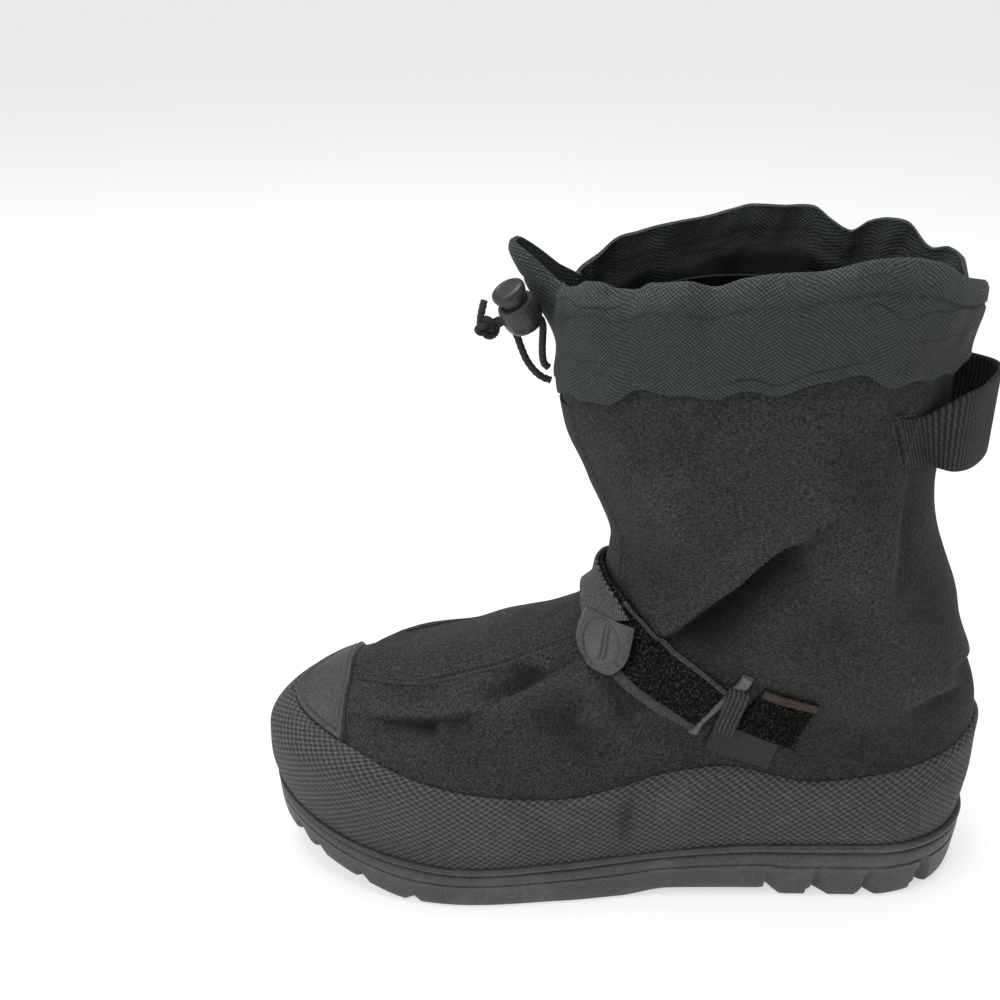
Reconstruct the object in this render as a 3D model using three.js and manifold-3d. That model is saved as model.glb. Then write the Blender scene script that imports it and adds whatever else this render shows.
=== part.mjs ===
// Winter overshoe for the right foot, millimetres. The toe points to +X, the inner (medial)
// side faces +Y and +Z is up. The origin is the floor point under the middle of the heel.
import * as THREE from 'three';
import Module from 'manifold-3d';

const wasm = await Module();
wasm.setup();

// Driving sizes
const LENGTH = 325;
const BALL = 118;
const WAIST = 97;
const HEEL = 91;
const HEIGHT = 290;
const SHAFT = 92;
const HEEL_BACK = -0.169;
const WALL = 2;
const GAP = 0.32;
const AROUND = 48;

// Thickness of what lies over the upper
const RAND = 2;
const CAP = 1.8;
const FLAP = 1.5;
const WEB = 1.8;
const WEB_WIDTH = 27;
const CORD = 3;

// Turns rows of values into rows of named values.
function table(names, rows) {
  return rows.map((row) => Object.fromEntries(names.map((name, i) => [name, row[i]])));
}

// Half widths of the foot along its length, as shares of the named widths.
const FOOT = table(['along', 'width', 'medial', 'lateral'], [
  [0.00, HEEL, 0.47, 0.49],
  [0.16, HEEL, 0.49, 0.51],
  [0.30, HEEL, 0.50, 0.53],
  [0.45, WAIST, 0.49, 0.53],
  [0.58, BALL, 0.455, 0.485],
  [0.70, BALL, 0.485, 0.515],
  [0.82, BALL, 0.47, 0.50],
  [0.92, BALL, 0.45, 0.47],
  [1.00, BALL, 0.42, 0.43],
]);

// Sideways swing of the middle line, height of the sole rim and of the tread, along the length.
const SWING = table(['along', 'up'], [[0, 0], [0.3, 0], [0.6, 0], [0.85, 0.0103], [1, 0.0172]]);
const RIM = table(['along', 'up'], [
  [0, 0.1069], [0.3, 0.1034], [0.5, 0.0862], [0.7, 0.0759], [0.85, 0.0931], [1, 0.1379],
]);
const TREAD = table(['along', 'up'], [
  [0, 0.0103], [0.05, 0], [0.27, 0], [0.30, 0.0121], [0.43, 0.0121], [0.50, 0],
  [0.79, 0], [0.86, 0.0190], [0.93, 0.0448], [1, 0.0724],
]);

// Sections of the upper from the feather edge to the collar rim. Lengths are shares of LENGTH,
// heights of HEIGHT, shaft half widths of SHAFT; foot says how far the section keeps the foot's own
// outline, rise lifts the sides of the rim above its front and back.
const SECTIONS = table(
  ['name', 'front', 'frontUp', 'frontRound', 'back', 'backUp', 'backRound', 'foot',
    'medial', 'lateral', 'power', 'inset', 'riseMedial', 'riseLateral'],
  [
    ['feather', 0.9877, null, 0.271, 0.0154, null, 0.142, 1.0, 0.500, 0.500, 1.0, 4.5, 0, 0],
    ['rand', 0.9985, 0.186, 0.258, 0.0123, 0.145, 0.142, 1.0, 0.500, 0.500, 2.0, 3.0, 0, 0],
    ['wall', 0.9969, 0.231, 0.240, 0.0092, 0.193, 0.142, 1.0, 0.500, 0.500, 2.4, 3.0, 0, 0],
    ['toe top', 0.9662, 0.276, 0.234, 0.0092, 0.234, 0.142, 1.0, 0.500, 0.500, 2.6, 5.5, 0, 0],
    ['toe cap', 0.9077, 0.307, 0.246, 0.0092, 0.276, 0.148, 0.9, 0.478, 0.478, 2.6, 8.0, 0, 0],
    ['toe break', 0.8000, 0.338, 0.265, 0.0123, 0.310, 0.154, 0.7, 0.457, 0.457, 2.6, 8.0, 0, 0],
    ['vamp', 0.6769, 0.383, 0.283, 0.0215, 0.348, 0.166, 0.5, 0.457, 0.457, 2.6, 5.0, 0, 0],
    ['instep', 0.5754, 0.428, 0.262, 0.0369, 0.390, 0.178, 0.3, 0.467, 0.467, 2.6, 2.0, 0, 0],
    ['crook', 0.5262, 0.486, 0.215, 0.0523, 0.438, 0.191, 0.1, 0.478, 0.478, 2.0, 0.0, 0, 0],
    ['ankle', 0.5231, 0.559, 0.209, 0.0738, 0.514, 0.197, 0.0, 0.489, 0.489, 1.5, 0.0, 0, 0],
    ['shaft', 0.5569, 0.662, 0.215, 0.1138, 0.648, 0.203, 0.0, 0.500, 0.500, 1.2, 0.0, 2, 3],
    ['hem', 0.5969, 0.800, 0.234, 0.1200, 0.793, 0.215, 0.0, 0.500, 0.500, 1.0, 0.0, 8, 12],
    ['rim', 0.6000, 0.938, 0.240, 0.1077, 0.938, 0.222, 0.0, 0.500, 0.500, 1.0, 0.0, 14, 21],
  ],
);
const TOP = SECTIONS.length - 1;

// Folds pressed into the upper: a line from one surface point to the next, how deep in and how wide.
// Turn is the angle round the section from the toe, over the medial side; step counts the sections.
const FOLDS = table(['turn1', 'step1', 'turn2', 'step2', 'deep', 'wide'], [
  [46, 7.9, 70, 9.2, 5.5, 13],
  [68, 9.1, 98, 9.9, 6.0, 15],
  [34, 4.2, 42, 5.4, 2.2, 6],
  [42, 5.4, 38, 6.4, 2.6, 7],
  [292, 9.9, 298, 7.4, 5.0, 12],
  [318, 4.4, 290, 6.6, 3.0, 7],
]);

// Monotone smooth curve through points.
function smooth(xs, ys) {
  const last = xs.length - 1;
  const wide = xs.slice(1).map((x, i) => x - xs[i]);
  const rate = ys.slice(1).map((y, i) => (y - ys[i]) / wide[i]);
  const slope = new Array(xs.length).fill(0);
  for (let i = 1; i < last; i += 1) {
    if (rate[i - 1] * rate[i] > 0) {
      const before = 2 * wide[i] + wide[i - 1];
      const after = wide[i] + 2 * wide[i - 1];
      slope[i] = (before + after) / (before / rate[i - 1] + after / rate[i]);
    }
  }
  slope[0] = endSlope(wide[0], wide[1], rate[0], rate[1]);
  slope[last] = endSlope(wide[last - 1], wide[last - 2], rate[last - 1], rate[last - 2]);
  return (x) => {
    let i = 0;
    while (i < last - 1 && x > xs[i + 1]) {
      i += 1;
    }
    const t = Math.min(1, Math.max(0, (x - xs[i]) / wide[i]));
    const rise = t * t * (3 - 2 * t);
    const lean = t * (1 - t) * (1 - t) * slope[i] - t * t * (1 - t) * slope[i + 1];
    return ys[i] * (1 - rise) + ys[i + 1] * rise + lean * wide[i];
  };
}

// Slope at the end of a smooth curve, from its two nearest spans.
function endSlope(wide, wideNext, rate, rateNext) {
  const slope = ((2 * wide + wideNext) * rate - wide * rateNext) / (wide + wideNext);
  if (slope * rate <= 0) {
    return 0;
  }
  if (rate * rateNext <= 0 && Math.abs(slope) > 3 * Math.abs(rate)) {
    return 3 * rate;
  }
  return slope;
}

// Smooth curve through two columns of a table.
function curve(rows, across, up, scale = 1) {
  return smooth(rows.map((row) => row[across]), rows.map((row) => row[up] * scale));
}

const swing = curve(SWING, 'along', 'up', HEIGHT);
const rimHeight = curve(RIM, 'along', 'up', HEIGHT);
const treadHeight = curve(TREAD, 'along', 'up', HEIGHT);
const footMedial = smooth(FOOT.map((f) => f.along), FOOT.map((f) => f.width * f.medial));
const footLateral = smooth(FOOT.map((f) => f.along), FOOT.map((f) => f.width * f.lateral));

// Lengths from shares: x of a share of the length, and the share at an x.
const xAt = (share) => LENGTH * (share + HEEL_BACK);
const shareAt = (x) => Math.min(1, Math.max(0, x / LENGTH - HEEL_BACK));
const rad = (degrees) => degrees * Math.PI / 180;
const add = (a, b, k = 1) => [a[0] + k * b[0], a[1] + k * b[1], a[2] + k * b[2]];
const dot = (a, b) => a[0] * b[0] + a[1] * b[1] + a[2] * b[2];
const cross = (a, b) => [
  a[1] * b[2] - a[2] * b[1],
  a[2] * b[0] - a[0] * b[2],
  a[0] * b[1] - a[1] * b[0],
];
const unit = (a) => add([0, 0, 0], a, 1 / Math.hypot(...a));

// Quarter-round share: 0 at the tip, 1 a full round away from it.
function round(u) {
  const t = Math.min(1, Math.max(0, u));
  return Math.sqrt(2 * t - t * t);
}

// A point of one section at an angle round it, before folds.
function sectionPoint(section, turn) {
  const front = xAt(section.front);
  const back = xAt(section.back);
  const s = (1 + Math.cos(turn)) / 2;
  const side = Math.sin(turn);
  const x = back + (front - back) * s;
  const share = shareAt(x);
  const foot = side >= 0 ? footMedial(share) : footLateral(share);
  const shaft = SHAFT * (side >= 0 ? section.medial : section.lateral);
  const half = section.foot * foot + (1 - section.foot) * shaft - section.inset;
  const ends = round((front - x) / (section.frontRound * LENGTH))
    * round((x - back) / (section.backRound * LENGTH));
  const y = swing(share) * section.foot + half * ends * Math.sign(Math.round(side * 1e9));
  const low = section.backUp * HEIGHT;
  const up = section.frontUp === null
    ? rimHeight(share) + GAP
    : low + (section.frontUp * HEIGHT - low) * s ** section.power;
  const rise = side >= 0 ? section.riseMedial : section.riseLateral;
  return [x, y, up + rise * side * side];
}

const columns = new Map();
const STEPS = SECTIONS.map((section, i) => i);

// The surface before folds at an angle round and a step up, columns kept once worked out.
function plain(turn, step) {
  const key = turn.toFixed(6);
  if (!columns.has(key)) {
    const points = SECTIONS.map((section) => sectionPoint(section, turn));
    columns.set(key, [0, 1, 2].map((axis) => smooth(STEPS, points.map((p) => p[axis]))));
  }
  return columns.get(key).map((f) => f(step));
}

// Outward direction of a surface given as a function of turn and step.
function outward(surface, turn, step) {
  const a = 0.01;
  const low = Math.max(0, step - a);
  const high = Math.min(TOP, step + a);
  const along = add(surface(turn + a, step), surface(turn - a, step), -1);
  const up = add(surface(turn, high), surface(turn, low), -1);
  return unit(cross(along, up));
}

const FOLD_LINES = FOLDS.map((fold) => ({
  from: plain(rad(fold.turn1), fold.step1),
  to: plain(rad(fold.turn2), fold.step2),
  deep: fold.deep,
  wide: fold.wide,
}));

// How far a point is pushed in by the folds.
function foldDepth(point) {
  let depth = 0;
  for (const fold of FOLD_LINES) {
    const line = add(fold.to, fold.from, -1);
    const share = dot(add(point, fold.from, -1), line) / dot(line, line);
    const t = Math.min(1, Math.max(0, share));
    const away = Math.hypot(...add(add(point, fold.from, -1), line, -t));
    depth += fold.deep * Math.exp(-((away / fold.wide) ** 2)) * Math.sqrt(0.25 + 3 * t * (1 - t));
  }
  return Math.min(depth, 8);
}

// The outside of the upper.
function skin(turn, step) {
  const point = plain(turn, step);
  return add(point, outward(plain, turn, step), -foldDepth(point));
}

// The outside of the upper moved out (or in) by a distance; the lowest row stays on the sole.
function offset(turn, step, far) {
  const normal = outward(skin, turn, step);
  if (step > 0) {
    return add(skin(turn, step), normal, far);
  }
  normal[2] = 0;
  const point = add(skin(turn, step), unit(normal), far);
  return [point[0], point[1], rimHeight(shareAt(point[0])) + GAP];
}

// A closed body from points and faces, as a manifold.
function body(points, faces) {
  const mesh = new wasm.Mesh({
    numProp: 3,
    vertProperties: Float32Array.from(points.flat()),
    triVerts: Uint32Array.from(faces.flat()),
  });
  return new wasm.Manifold(mesh);
}

// The largest piece of a body, without the crumbs a cut can leave.
function main(solid) {
  return solid.decompose().sort((a, b) => b.volume() - a.volume())[0];
}

// Two triangles for a four-cornered face.
function quad(a, b, c, d) {
  return [[a, b, c], [a, c, d]];
}

// A closed body from rings stacked upwards, each running anticlockwise from the toe; both ends are
// closed by strips straight across, so a curved end keeps one height from side to side.
function stack(rings) {
  const count = rings[0].length;
  const faces = [];
  for (let r = 0; r + 1 < rings.length; r += 1) {
    for (let i = 0; i < count; i += 1) {
      const j = (i + 1) % count;
      faces.push(...quad(r * count + i, r * count + j, (r + 1) * count + j, (r + 1) * count + i));
    }
  }
  const last = (rings.length - 1) * count;
  for (let i = 0; i < count / 2; i += 1) {
    const ends = [i, i + 1, count - i - 1, (count - i) % count];
    for (const face of quad(...ends)) {
      if (new Set(face).size === 3) {
        faces.push(face.map((v) => v + last));
        faces.push([face[2], face[1], face[0]]);
      }
    }
  }
  return body(rings.flat(), faces);
}

// A wall between an outer and an inner set of rings, open at both ends.
function hollow(outer, inner) {
  const rings = [...outer, ...inner.slice().reverse()];
  const count = outer[0].length;
  const faces = [];
  for (let r = 0; r < rings.length; r += 1) {
    const next = (r + 1) % rings.length;
    for (let i = 0; i < count; i += 1) {
      const j = (i + 1) % count;
      faces.push(...quad(r * count + i, r * count + j, next * count + j, next * count + i));
    }
  }
  return body(rings.flat(), faces);
}

// A closed slab between a top grid of points and the bottom grid under it.
function slab(top, bottom) {
  const rows = top.length;
  const cols = top[0].length;
  const under = rows * cols;
  const faces = [];
  const at = (i, k) => i * cols + k;
  for (let i = 0; i + 1 < rows; i += 1) {
    for (let k = 0; k + 1 < cols; k += 1) {
      faces.push(...quad(at(i, k), at(i + 1, k), at(i + 1, k + 1), at(i, k + 1)));
      faces.push(...quad(at(i, k) + under, at(i, k + 1) + under, at(i + 1, k + 1) + under,
        at(i + 1, k) + under));
    }
  }
  const edge = [];
  for (let i = 0; i < rows - 1; i += 1) {
    edge.push(at(i, 0));
  }
  for (let k = 0; k < cols - 1; k += 1) {
    edge.push(at(rows - 1, k));
  }
  for (let i = rows - 1; i > 0; i -= 1) {
    edge.push(at(i, cols - 1));
  }
  for (let k = cols - 1; k > 0; k -= 1) {
    edge.push(at(0, k));
  }
  edge.forEach((a, i) => {
    const b = edge[(i + 1) % edge.length];
    faces.push(...quad(b, a, a + under, b + under));
  });
  return facingOut([...top.flat(), ...bottom.flat()], faces);
}

// A closed body from points and faces, turned right side out if its faces point inwards.
function facingOut(points, faces) {
  const solid = body(points, faces);
  if (solid.volume() > 0) {
    return solid;
  }
  return body(points, faces.map((face) => face.slice().reverse()));
}

const TURNS = Array.from({ length: AROUND }, (_, i) => (i * 2 * Math.PI) / AROUND);
const UPPER_TOP = 11.45;
const UPPER_STEPS = [];
for (let step = 0; step < UPPER_TOP - 0.3;) {
  UPPER_STEPS.push(step);
  step += step >= 6.4 && step < 9 ? 0.5 : 0.64;
}
UPPER_STEPS.push(UPPER_TOP);

// Rings of the upper at a distance from its outside.
function ringsAt(far, steps = UPPER_STEPS) {
  return steps.map((step) => TURNS.map((turn) => offset(turn, step, far)));
}

const forms = new Map();

// The whole boot form at a distance from the upper's outside, as a filled body used to cut with.
function form(far) {
  if (!forms.has(far)) {
    forms.set(far, stack(ringsAt(far)));
  }
  return forms.get(far);
}

// Sole
const SIDE = table(['up', 'inset'], [
  [0.00, 3.6], [0.07, 1.8], [0.565, 0.7], [0.585, 2.0], [0.62, 2.0], [0.64, 0.5],
  [0.84, 0.7], [0.87, 1.6], [0.90, 0.2], [1.00, 0.5],
]);
const FRONT_ROUND = 0.283;
const BACK_ROUND = 0.154;

// A ring of the sole at a share of its side height; inset moves it in from the rim.
function soleRing(inset, height) {
  return TURNS.map((turn) => {
    const front = xAt(1) - inset;
    const back = xAt(0) + inset;
    const x = back + (front - back) * (1 + Math.cos(turn)) / 2;
    const share = shareAt(x);
    const side = Math.sin(turn);
    const half = (side >= 0 ? footMedial(share) : footLateral(share)) - inset;
    const ends = round((front - x) / (FRONT_ROUND * LENGTH)) * round((x - back) / (BACK_ROUND * LENGTH));
    return [x, swing(share) + half * ends * Math.sign(Math.round(side * 1e9)), height(share)];
  });
}

// A box with its middle at a point, turned about the upright axis.
function block(size, middle, turn = 0) {
  const cube = wasm.Manifold.cube(size, true);
  return cube.rotate([0, 0, turn]).translate(middle);
}

const GROOVE_PITCH = 0.0715;
const GROOVE_WIDE = 6;
const GROOVE_DEEP = 4.5;
const FIRST_GROOVE = 0.0715;
const FIRST_FRONT_GROOVE = 0.508;
const SCALLOPS = table(['along', 'side', 'wide', 'tall', 'deep'], [
  [0.071, 1, 7, 16, 7], [0.1475, 1, 7, 17, 6], [0.2185, 1, 7, 17, 6], [0.289, 1, 10, 15, 7],
  [0.071, -1, 7, 16, 7], [0.1475, -1, 7, 17, 6], [0.2185, -1, 7, 17, 6], [0.289, -1, 10, 15, 7],
]);

// A wedge that bites a tapered notch between two side lugs of the heel.
function scallop(row) {
  const x = xAt(row.along);
  const near = row.side > 0 ? footMedial(row.along) : footLateral(row.along);
  const y = row.side * near * round(row.along / BACK_ROUND);
  const lean = Math.atan2(near, (BACK_ROUND - row.along) * LENGTH);
  const turn = row.along < BACK_ROUND ? row.side * (Math.PI - lean * 1.1) : row.side * Math.PI / 2;
  const shape = new THREE.Shape();
  shape.moveTo(-row.wide / 2, -1);
  shape.lineTo(row.wide / 2, -1);
  shape.lineTo(row.wide / 5, row.tall);
  shape.lineTo(-row.wide / 5, row.tall);
  const wedge = new THREE.ExtrudeGeometry(shape, { depth: row.deep * 2, bevelEnabled: false });
  wedge.translate(0, 0, -row.deep);
  wedge.rotateX(Math.PI / 2);
  wedge.rotateZ(turn - Math.PI / 2);
  wedge.translate(x, y, treadHeight(row.along) - 0.5);
  return fromGeometry(wedge);
}

// A three.js geometry as a manifold, its points welded by position.
function fromGeometry(geometry) {
  const place = geometry.attributes.position;
  const index = geometry.index
    ? Array.from(geometry.index.array)
    : Array.from({ length: place.count }, (_, i) => i);
  const found = new Map();
  const points = [];
  const welded = index.map((i) => {
    const point = [place.getX(i), place.getY(i), place.getZ(i)];
    const key = point.map((v) => Math.round(v * 1e4)).join();
    if (!found.has(key)) {
      found.set(key, points.length);
      points.push(point);
    }
    return found.get(key);
  });
  const faces = [];
  for (let i = 0; i < welded.length; i += 3) {
    const face = welded.slice(i, i + 3);
    if (new Set(face).size === 3) {
      faces.push(face);
    }
  }
  return facingOut(points, faces);
}

function outsole() {
  const rings = SIDE.map((row) => soleRing(row.inset, (share) => {
    const low = treadHeight(share);
    return low + (rimHeight(share) - low) * row.up;
  }));
  let solid = stack(rings);
  const cuts = SCALLOPS.map(scallop);
  const wide = BALL * 1.3;
  for (let along = FIRST_GROOVE; along < 0.25; along += GROOVE_PITCH * 1.03) {
    cuts.push(block([GROOVE_WIDE, wide, 2 * GROOVE_DEEP], [xAt(along), 0, treadHeight(along)]));
  }
  for (let along = FIRST_FRONT_GROOVE; along < 0.98; along += GROOVE_PITCH) {
    cuts.push(block([GROOVE_WIDE, wide, 2 * GROOVE_DEEP], [xAt(along), 0, treadHeight(along)]));
  }
  for (const side of [-1, 1]) {
    cuts.push(block([LENGTH * 0.2, GROOVE_WIDE, 2 * GROOVE_DEEP], [xAt(0.13), side * 15, 0]));
    cuts.push(block([LENGTH * 0.34, GROOVE_WIDE, 2 * GROOVE_DEEP], [xAt(0.645), side * 19, 0]));
  }
  for (const cut of cuts) {
    solid = solid.subtract(cut);
  }
  return solid;
}

const INSOLE_IN = 7.6;
const INSOLE = 4;

function insole() {
  return stack([
    soleRing(INSOLE_IN, (share) => rimHeight(share) + GAP),
    soleRing(INSOLE_IN, (share) => rimHeight(share) + GAP + INSOLE - 0.6),
    soleRing(INSOLE_IN + 0.6, (share) => rimHeight(share) + GAP + INSOLE),
  ]);
}

function upper() {
  return hollow(ringsAt(0), ringsAt(-WALL));
}

// A side view outline pushed right across the boot; corners are shares of LENGTH and HEIGHT.
function sideCut(corners) {
  const outline = corners.map(([along, up]) => new THREE.Vector2(xAt(along), up * HEIGHT));
  const shape = new THREE.Shape(outline);
  const cut = new THREE.ExtrudeGeometry(shape, { depth: 2 * BALL, bevelEnabled: false });
  cut.rotateX(Math.PI / 2);
  cut.translate(0, BALL, 0);
  return fromGeometry(cut);
}

// Top edge of the rand along the boot, and the toe cap's edge above it.
const RAND_TOP = table(['along', 'up'], [
  [-0.02, 0.290], [0.02, 0.276], [0.05, 0.259], [0.10, 0.248], [0.17, 0.231], [0.25, 0.221],
  [0.37, 0.245], [0.44, 0.236], [0.50, 0.219], [0.59, 0.203], [0.70, 0.217], [0.80, 0.245],
  [0.874, 0.269], [0.94, 0.278], [1.02, 0.281],
]);
const CAP_BACK = 0.881;

function rand() {
  const low = UPPER_STEPS.filter((step) => step < 6);
  const edge = curve(RAND_TOP, 'along', 'up');
  const corners = [[1.05, 0.05], [-0.05, 0.05]].reverse();
  for (let along = 1.03; along > -0.03; along -= 0.03) {
    corners.push([along, edge(Math.max(-0.02, Math.min(1.02, along)))]);
  }
  return hollow(ringsAt(GAP + RAND, low), ringsAt(GAP, low)).intersect(sideCut(corners));
}

function toeCap() {
  const edge = curve(RAND_TOP, 'along', 'up');
  const low = 0.0035;
  const corners = [[1.03, 0.45], [CAP_BACK + 0.004, 0.45], [CAP_BACK, edge(CAP_BACK) + low]];
  for (let along = 0.9; along < 1.02; along += 0.03) {
    corners.push([along, edge(along) + low]);
  }
  return form(GAP + CAP).subtract(form(GAP)).intersect(sideCut(corners));
}

// A grid of turn and step along a path on the surface, with rows straight across it.
function bandGrid(path, width, lengthSteps, acrossSteps) {
  const points = path.map((p) => new THREE.Vector3(rad(p[0]), p[1], p[2]));
  const curveOn = new THREE.CatmullRomCurve3(points);
  const rows = [];
  for (let i = 0; i <= lengthSteps; i += 1) {
    const here = curveOn.getPoint(i / lengthSteps);
    const ahead = curveOn.getPoint(Math.min(1, (i + 1.2) / lengthSteps));
    const behind = curveOn.getPoint(Math.max(0, (i - 1.2) / lengthSteps));
    const along = unit(add(skin(ahead.x, ahead.y), skin(behind.x, behind.y), -1));
    const across = unit(cross(outward(skin, here.x, here.y), along));
    const side = typeof width === 'function' ? width(i / lengthSteps) : width;
    const row = [];
    for (let k = -acrossSteps; k <= acrossSteps; k += 1) {
      row.push(walk(here.x, here.y, across, (k / acrossSteps) * side / 2));
    }
    rows.push(row.map((p) => ({ turn: p[0], step: p[1], high: here.z })));
  }
  return rows;
}

// Moves over the surface from a turn and step by a distance in a given direction.
function walk(turn, step, direction, distance) {
  const parts = 4;
  let place = [turn, step];
  for (let i = 0; i < parts; i += 1) {
    const a = 0.01;
    const p = skin(place[0], place[1]);
    const u = add(skin(place[0] + a, place[1]), p, -1).map((v) => v / a);
    const v = add(skin(place[0], place[1] + a), p, -1).map((w) => w / a);
    const uu = dot(u, u);
    const uv = dot(u, v);
    const vv = dot(v, v);
    const su = dot(u, direction) * distance / parts;
    const sv = dot(v, direction) * distance / parts;
    const det = uu * vv - uv * uv;
    place = [place[0] + (su * vv - sv * uv) / det, place[1] + (sv * uu - su * uv) / det];
  }
  return place;
}

// A band on the surface: it reaches from inside the boot to its own height, then is cut free.
function band(grid, grow = 0) {
  const top = grid.map((row) => row.map((p) => offset(p.turn, p.step, p.high + grow)));
  const bottom = grid.map((row) => row.map((p) => offset(p.turn, p.step, -2)));
  return slab(top, bottom);
}

// Closure flap down the front: medial edge stitched, lateral edge free.
const FLAP_EDGES = table(['step', 'medial', 'lateral'], [
  [4.35, 10, -30], [5, 21, -40], [6, 23, -50], [7, 22, -52], [8, 20, -48], [9, 18, -45],
  [10, 18, -44], [10.85, 18, -44],
]);

function flapGrid(more = 0) {
  const medial = curve(FLAP_EDGES, 'step', 'medial');
  const lateral = curve(FLAP_EDGES, 'step', 'lateral');
  const rows = 16;
  const cols = 6;
  const first = FLAP_EDGES[0].step - more;
  const last = FLAP_EDGES[FLAP_EDGES.length - 1].step + more;
  return Array.from({ length: rows + 1 }, (_, i) => {
    const step = first + (last - first) * i / rows;
    const from = lateral(step) - more * 20;
    const to = medial(step) + more * 20;
    return Array.from({ length: cols + 1 }, (__, k) => (
      { turn: rad(from + (to - from) * k / cols), step, high: GAP + FLAP }));
  });
}

function frontFlap() {
  return band(flapGrid()).subtract(form(GAP));
}

// Paths on the surface: turn, step and height of the top face.
const STRAP_PATH = [
  [83, 5.85, 3.9], [72, 6.32, 2.2], [57, 6.75, 2.2], [40, 7.2, 2.2], [20, 7.66, 4.0],
  [0, 7.86, 4.0], [-20, 7.68, 4.0], [-40, 7.2, 4.0], [-55, 6.8, 3.0], [-70, 6.37, 2.2],
];
const OVER_PATH = [
  [15.5, 7.69, 6.3], [9, 7.78, 6.3], [0, 7.86, 6.3], [-16, 7.76, 6.3], [-34, 7.36, 6.3],
  [-50, 6.93, 6.0],
];
const TIP_PATH = [[43.5, 6.42, 5], [40, 6.64, 6.3], [31.5, 7.1, 7.1], [24, 7.5, 7.2]];
const ANCHOR_PATH = [[91, 5.95, 2.2], [110, 5.1, 2.2]];
const RIBBED_PATH = [[85.8, 5.84, 4.1], [91.5, 5.72, 4.1]];
const RING_PATH = [[79, 7.2, 2.1], [84, 5.9, 2.1], [92, 4.6, 2.1]];
const LABEL_PATH = [[95, 4.68, 1.1], [111, 3.78, 1.1]];
const TAB_PATH = [[-90, 5.58, 2.2], [-104, 4.95, 2.2], [-120, 3.85, 2.2]];

// A body less each of several others, keeping its largest piece.
function less(solid, ...cuts) {
  return main(cuts.reduce((left, cut) => left.subtract(cut), solid));
}

// Other pieces with a clear margin round them, to cut their neighbours with.
const grownFlap = () => band(flapGrid(0.03), GAP);
const grownStrap = () => band(bandGrid(STRAP_PATH, WEB_WIDTH + 5 * GAP, 30, 2), 1.3 * GAP);
const grownTip = () => band(bandGrid(TIP_PATH, (t) => tipWidth(t) + 4 * GAP, 12, 2), GAP);
const grownRing = () => band(bandGrid(RING_PATH, 11, 6, 1), GAP);
const grownRibbed = () => band(bandGrid(RIBBED_PATH, WEB_WIDTH + 5 * GAP, 4, 2), GAP);
const grownAnchor = () => band(bandGrid(ANCHOR_PATH, WEB_WIDTH + 3 * GAP, 8, 2), GAP);

function strap() {
  const whole = band(bandGrid(STRAP_PATH, WEB_WIDTH, 30, 2));
  return less(whole, form(GAP), grownFlap(), grownRing(), grownRibbed());
}

function overStrap() {
  const whole = band(bandGrid(OVER_PATH, WEB_WIDTH - 2, 18, 2));
  return less(whole, form(GAP), grownFlap(), grownStrap(), grownTip());
}

// Width of the moulded tip from its rounded end to the strap.
function tipWidth(t) {
  return 25 * Math.sqrt(Math.max(0.04, 1 - (1.05 * (1 - t) - 0.05) ** 4));
}

// Moulded tip: an oval at the end of the over-strap.
function strapTip() {
  return less(band(bandGrid(TIP_PATH, tipWidth, 12, 2)), form(GAP), grownFlap(), grownStrap());
}

function strapAnchor() {
  return less(band(bandGrid(ANCHOR_PATH, WEB_WIDTH, 8, 2)), form(GAP));
}

function slotRing() {
  return less(band(bandGrid(RING_PATH, 10, 8, 1)), form(GAP));
}

function ribbedTab() {
  return less(band(bandGrid(RIBBED_PATH, WEB_WIDTH, 4, 2)), form(GAP), grownRing(), grownAnchor());
}

function label() {
  const whole = band(bandGrid(LABEL_PATH, 18, 6, 2));
  return less(whole, form(GAP), grownAnchor(), grownRibbed(), grownRing());
}

function buckleTab() {
  return less(band(bandGrid(TAB_PATH, WEB_WIDTH + 4, 8, 2)), form(GAP), grownStrap());
}

// Buckle: both halves lie flat on one plane over the outer side, X along the webbing to the rear.
const BUCKLE_THICK = 9;
const BUCKLE_WIDE = 36;
const SOCKET_LONG = 33;
const LADDER_LONG = 21;
const BUCKLE_FRONT = [-54, 6.85];
const BUCKLE_MIDDLE = [-73, 6.28];
const BUCKLE_REAR = [-98, 5.25];

// The buckle lies just clear of the highest point of the webbing under it.
function buckleMatrix() {
  const [front, middle, rear] = [BUCKLE_FRONT, BUCKLE_MIDDLE, BUCKLE_REAR].map(([t, s]) => [rad(t), s]);
  const mean = [front, middle, rear].map((p) => outward(skin, ...p)).reduce((a, b) => add(a, b));
  const out = unit(mean);
  const across = unit(cross(out, add(skin(...rear), skin(...front), -1)));
  const along = cross(across, out);
  const strapEnd = bandGrid(STRAP_PATH, WEB_WIDTH, 30, 2).slice(-7);
  const tabStart = bandGrid(TAB_PATH, WEB_WIDTH, 8, 2).slice(0, 2);
  const start = skin(...middle);
  const heights = [...strapEnd, ...tabStart].flat().map((p) => (
    dot(out, add(offset(p.turn, p.step, p.high), start, -1))));
  const lift = Math.max(...heights);
  const at = add(start, out, lift + GAP);
  const basis = [along, across, out].map((v) => new THREE.Vector3(...v));
  return new THREE.Matrix4().makeBasis(...basis).setPosition(...at);
}

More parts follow.
